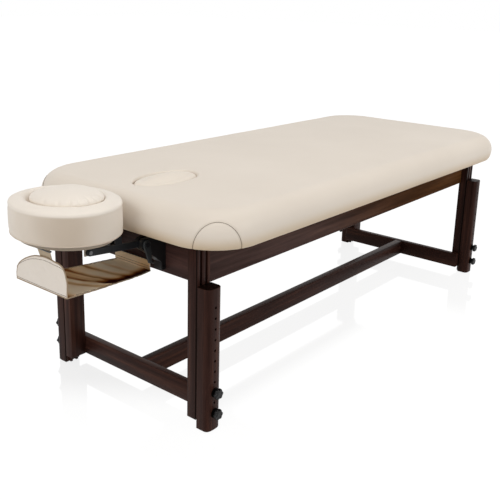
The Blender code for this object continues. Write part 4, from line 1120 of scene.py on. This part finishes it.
# Lamps: place, target, width and height, watts, colour
LAMPS = {
    "top_softbox": ((0.25, -0.3, 3.6), (0.35, 0, 0.5), (4.0, 3.0), 41.8, WARM),
    "left_softbox": ((-3.5, -0.3, 2.0), (-0.6, 0, 0.45), (1.8, 1.8), 33.0, WARMER),
    "front_softbox": ((1.1, -4.0, 2.2), (-0.2, 0, 0.4), (2.6, 2.0), 49.0, WARM),
}
# Camera: yaw, pitch and roll in degrees, and its place from the middle between the near legs
CAMERA_TURN, CAMERA_PLACE = (38.819, -15.356, 1.621), (-2.2141, -1.5422, 1.1542)
CAMERA_LENS, CAMERA_SHIFT = 53.84, (-0.0042, -0.0930)


def fall(value, full, none):
    """1 up to full, 0 from none on, smooth between."""
    return ease(clamp((none - value) / (none - full)))


def floor_gloss(x, y, head, foot):
    """The floor is polished along the low frame and dull further out."""
    ends = fall(-y, 0.55, 0.80) * fall(y, 0.40, 0.50)

    def polish(value, limits, edge, reach):
        weak, strong = limits
        return min(strong, max(weak, value)) * fall(edge - x, *reach) * fall(x - edge, 0.0, 0.05) * ends

    depth = 0.78 * x + 0.63 * y
    at_head = polish(0.168 + 0.80 * (depth + 0.48), HEAD_GLOSS, head, (0.27, 0.42))
    at_foot = polish(0.125 + 0.055 * y, FOOT_GLOSS, foot, (0.32, 0.62))
    between = fall(x, foot - 0.05, foot) * fall(-x, -head - 0.05, -head)
    at_stretcher = STRETCHER_GLOSS * fall(-y, 0.22, 0.34) * fall(y, 0.05, 0.10) * between
    return max(at_head, at_foot, at_stretcher)


def clean_tree(owner):
    owner.use_nodes = True
    owner.node_tree.nodes.clear()
    return owner.node_tree


def surface(tree, kind, colour, **values):
    return wire(tree, tree.nodes.new(kind), Color=(*colour, 1), **values).outputs[0]


def mixed(tree, share, first, second):
    """Two shaders mixed by a number or by a node's output."""
    made = wire(tree, tree.nodes.new("ShaderNodeMixShader"), Fac=share)
    tree.links.new(first, made.inputs[1])
    tree.links.new(second, made.inputs[2])
    return made.outputs[0]


def any_ray(tree, *kinds):
    """1 for rays of any of the kinds, else 0."""
    rays = tree.nodes.new("ShaderNodeLightPath")
    found = rays.outputs[kinds[0]]
    for kind in kinds[1:]:
        either = wire(tree, tree.nodes.new("ShaderNodeMath"), operation="MAXIMUM")
        tree.links.new(found, either.inputs[0])
        tree.links.new(rays.outputs[kind], either.inputs[1])
        found = either.outputs[0]
    return found


def white_floor():
    """White to the camera, with a faint shadow and a mirror image where the mesh is polished."""
    material = bpy.data.materials.new("white_floor")
    tree = clean_tree(material)
    polish = wire(tree, tree.nodes.new("ShaderNodeAttribute"), attribute_name="gloss").outputs["Fac"]
    plain = surface(tree, "ShaderNodeBsdfDiffuse", (0.86, 0.86, 0.86))
    glow = surface(tree, "ShaderNodeEmission", WHITE, Strength=1.085)
    mirror = surface(tree, "ShaderNodeBsdfGlossy", WHITE, Roughness=0.06)
    seen = mixed(tree, 0.07, mixed(tree, polish, glow, mirror), plain)
    shown = mixed(tree, any_ray(tree, "Is Camera Ray", "Is Glossy Ray"), plain, seen)
    wire(tree, tree.nodes.new("ShaderNodeOutputMaterial"), Surface=shown)
    return material


def build_floor():
    bm = bmesh.new()
    across = [-FLOOR_REACH] + [FLOOR_CELL * step for step in range(-40, 31)] + [FLOOR_REACH]
    along = [-FLOOR_REACH] + [FLOOR_CELL * step for step in range(-26, 18)] + [FLOOR_REACH]
    sheet_faces(bm, [[bm.verts.new((x, y, 0)) for x in across] for y in along])
    floor = add_mesh("studio_floor", bm, white_floor(), smooth=False)
    head, foot = [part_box("crossbar_" + end)[1][0] + FRAME_MARGIN for end in ENDS]
    places = [vertex.co for vertex in floor.data.vertices]
    store(floor.data, "gloss", [floor_gloss(place.x, place.y, head, foot) for place in places])
    floor.location = (0, 0, -FLOOR_DROP)


def build_backdrop():
    world = bpy.data.worlds.new("studio")
    bpy.context.scene.world = world
    tree = clean_tree(world)
    ambient = surface(tree, "ShaderNodeBackground", (1.0, 0.985, 0.965), Strength=AMBIENT)
    white = surface(tree, "ShaderNodeBackground", WHITE, Strength=1.0)
    seen = any_ray(tree, "Is Camera Ray", "Is Glossy Ray", "Is Transmission Ray")
    wire(tree, tree.nodes.new("ShaderNodeOutputWorld"), Surface=mixed(tree, seen, ambient, white))


def build_lamps():
    for name, (place, target, size, watts, colour) in LAMPS.items():
        data = bpy.data.lights.new(name, "AREA")
        data.shape = "RECTANGLE"
        data.size, data.size_y = size
        data.energy = watts
        data.color = colour
        lamp = place_object(name, data)
        lamp.location = place
        lamp.rotation_euler = (Vector(target) - Vector(place)).to_track_quat("-Z", "Y").to_euler()


def build_camera():
    yaw, pitch, roll = map(math.radians, CAMERA_TURN)
    matrix = Matrix.Rotation(yaw - math.pi / 2, 4, "Z") @ Matrix.Rotation(pitch + math.pi / 2, 4, "X")
    matrix = matrix @ Matrix.Rotation(roll, 4, "Z")
    data = bpy.data.cameras.new("photo_camera")
    data.sensor_width = 36.0
    data.lens = CAMERA_LENS
    data.shift_x, data.shift_y = CAMERA_SHIFT
    data.clip_end = 100.0
    legs = [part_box("leg_%s_near" % end) for end in ENDS]
    middle = sum(low[0] + high[0] for low, high in legs) / 4
    matrix.translation = (middle + CAMERA_PLACE[0], *CAMERA_PLACE[1:])
    camera = place_object("photo_camera", data)
    camera.matrix_world = matrix
    bpy.context.scene.camera = camera


build_floor()
build_backdrop()
build_lamps()
build_camera()
bpy.context.scene.view_settings.view_transform = "Standard"
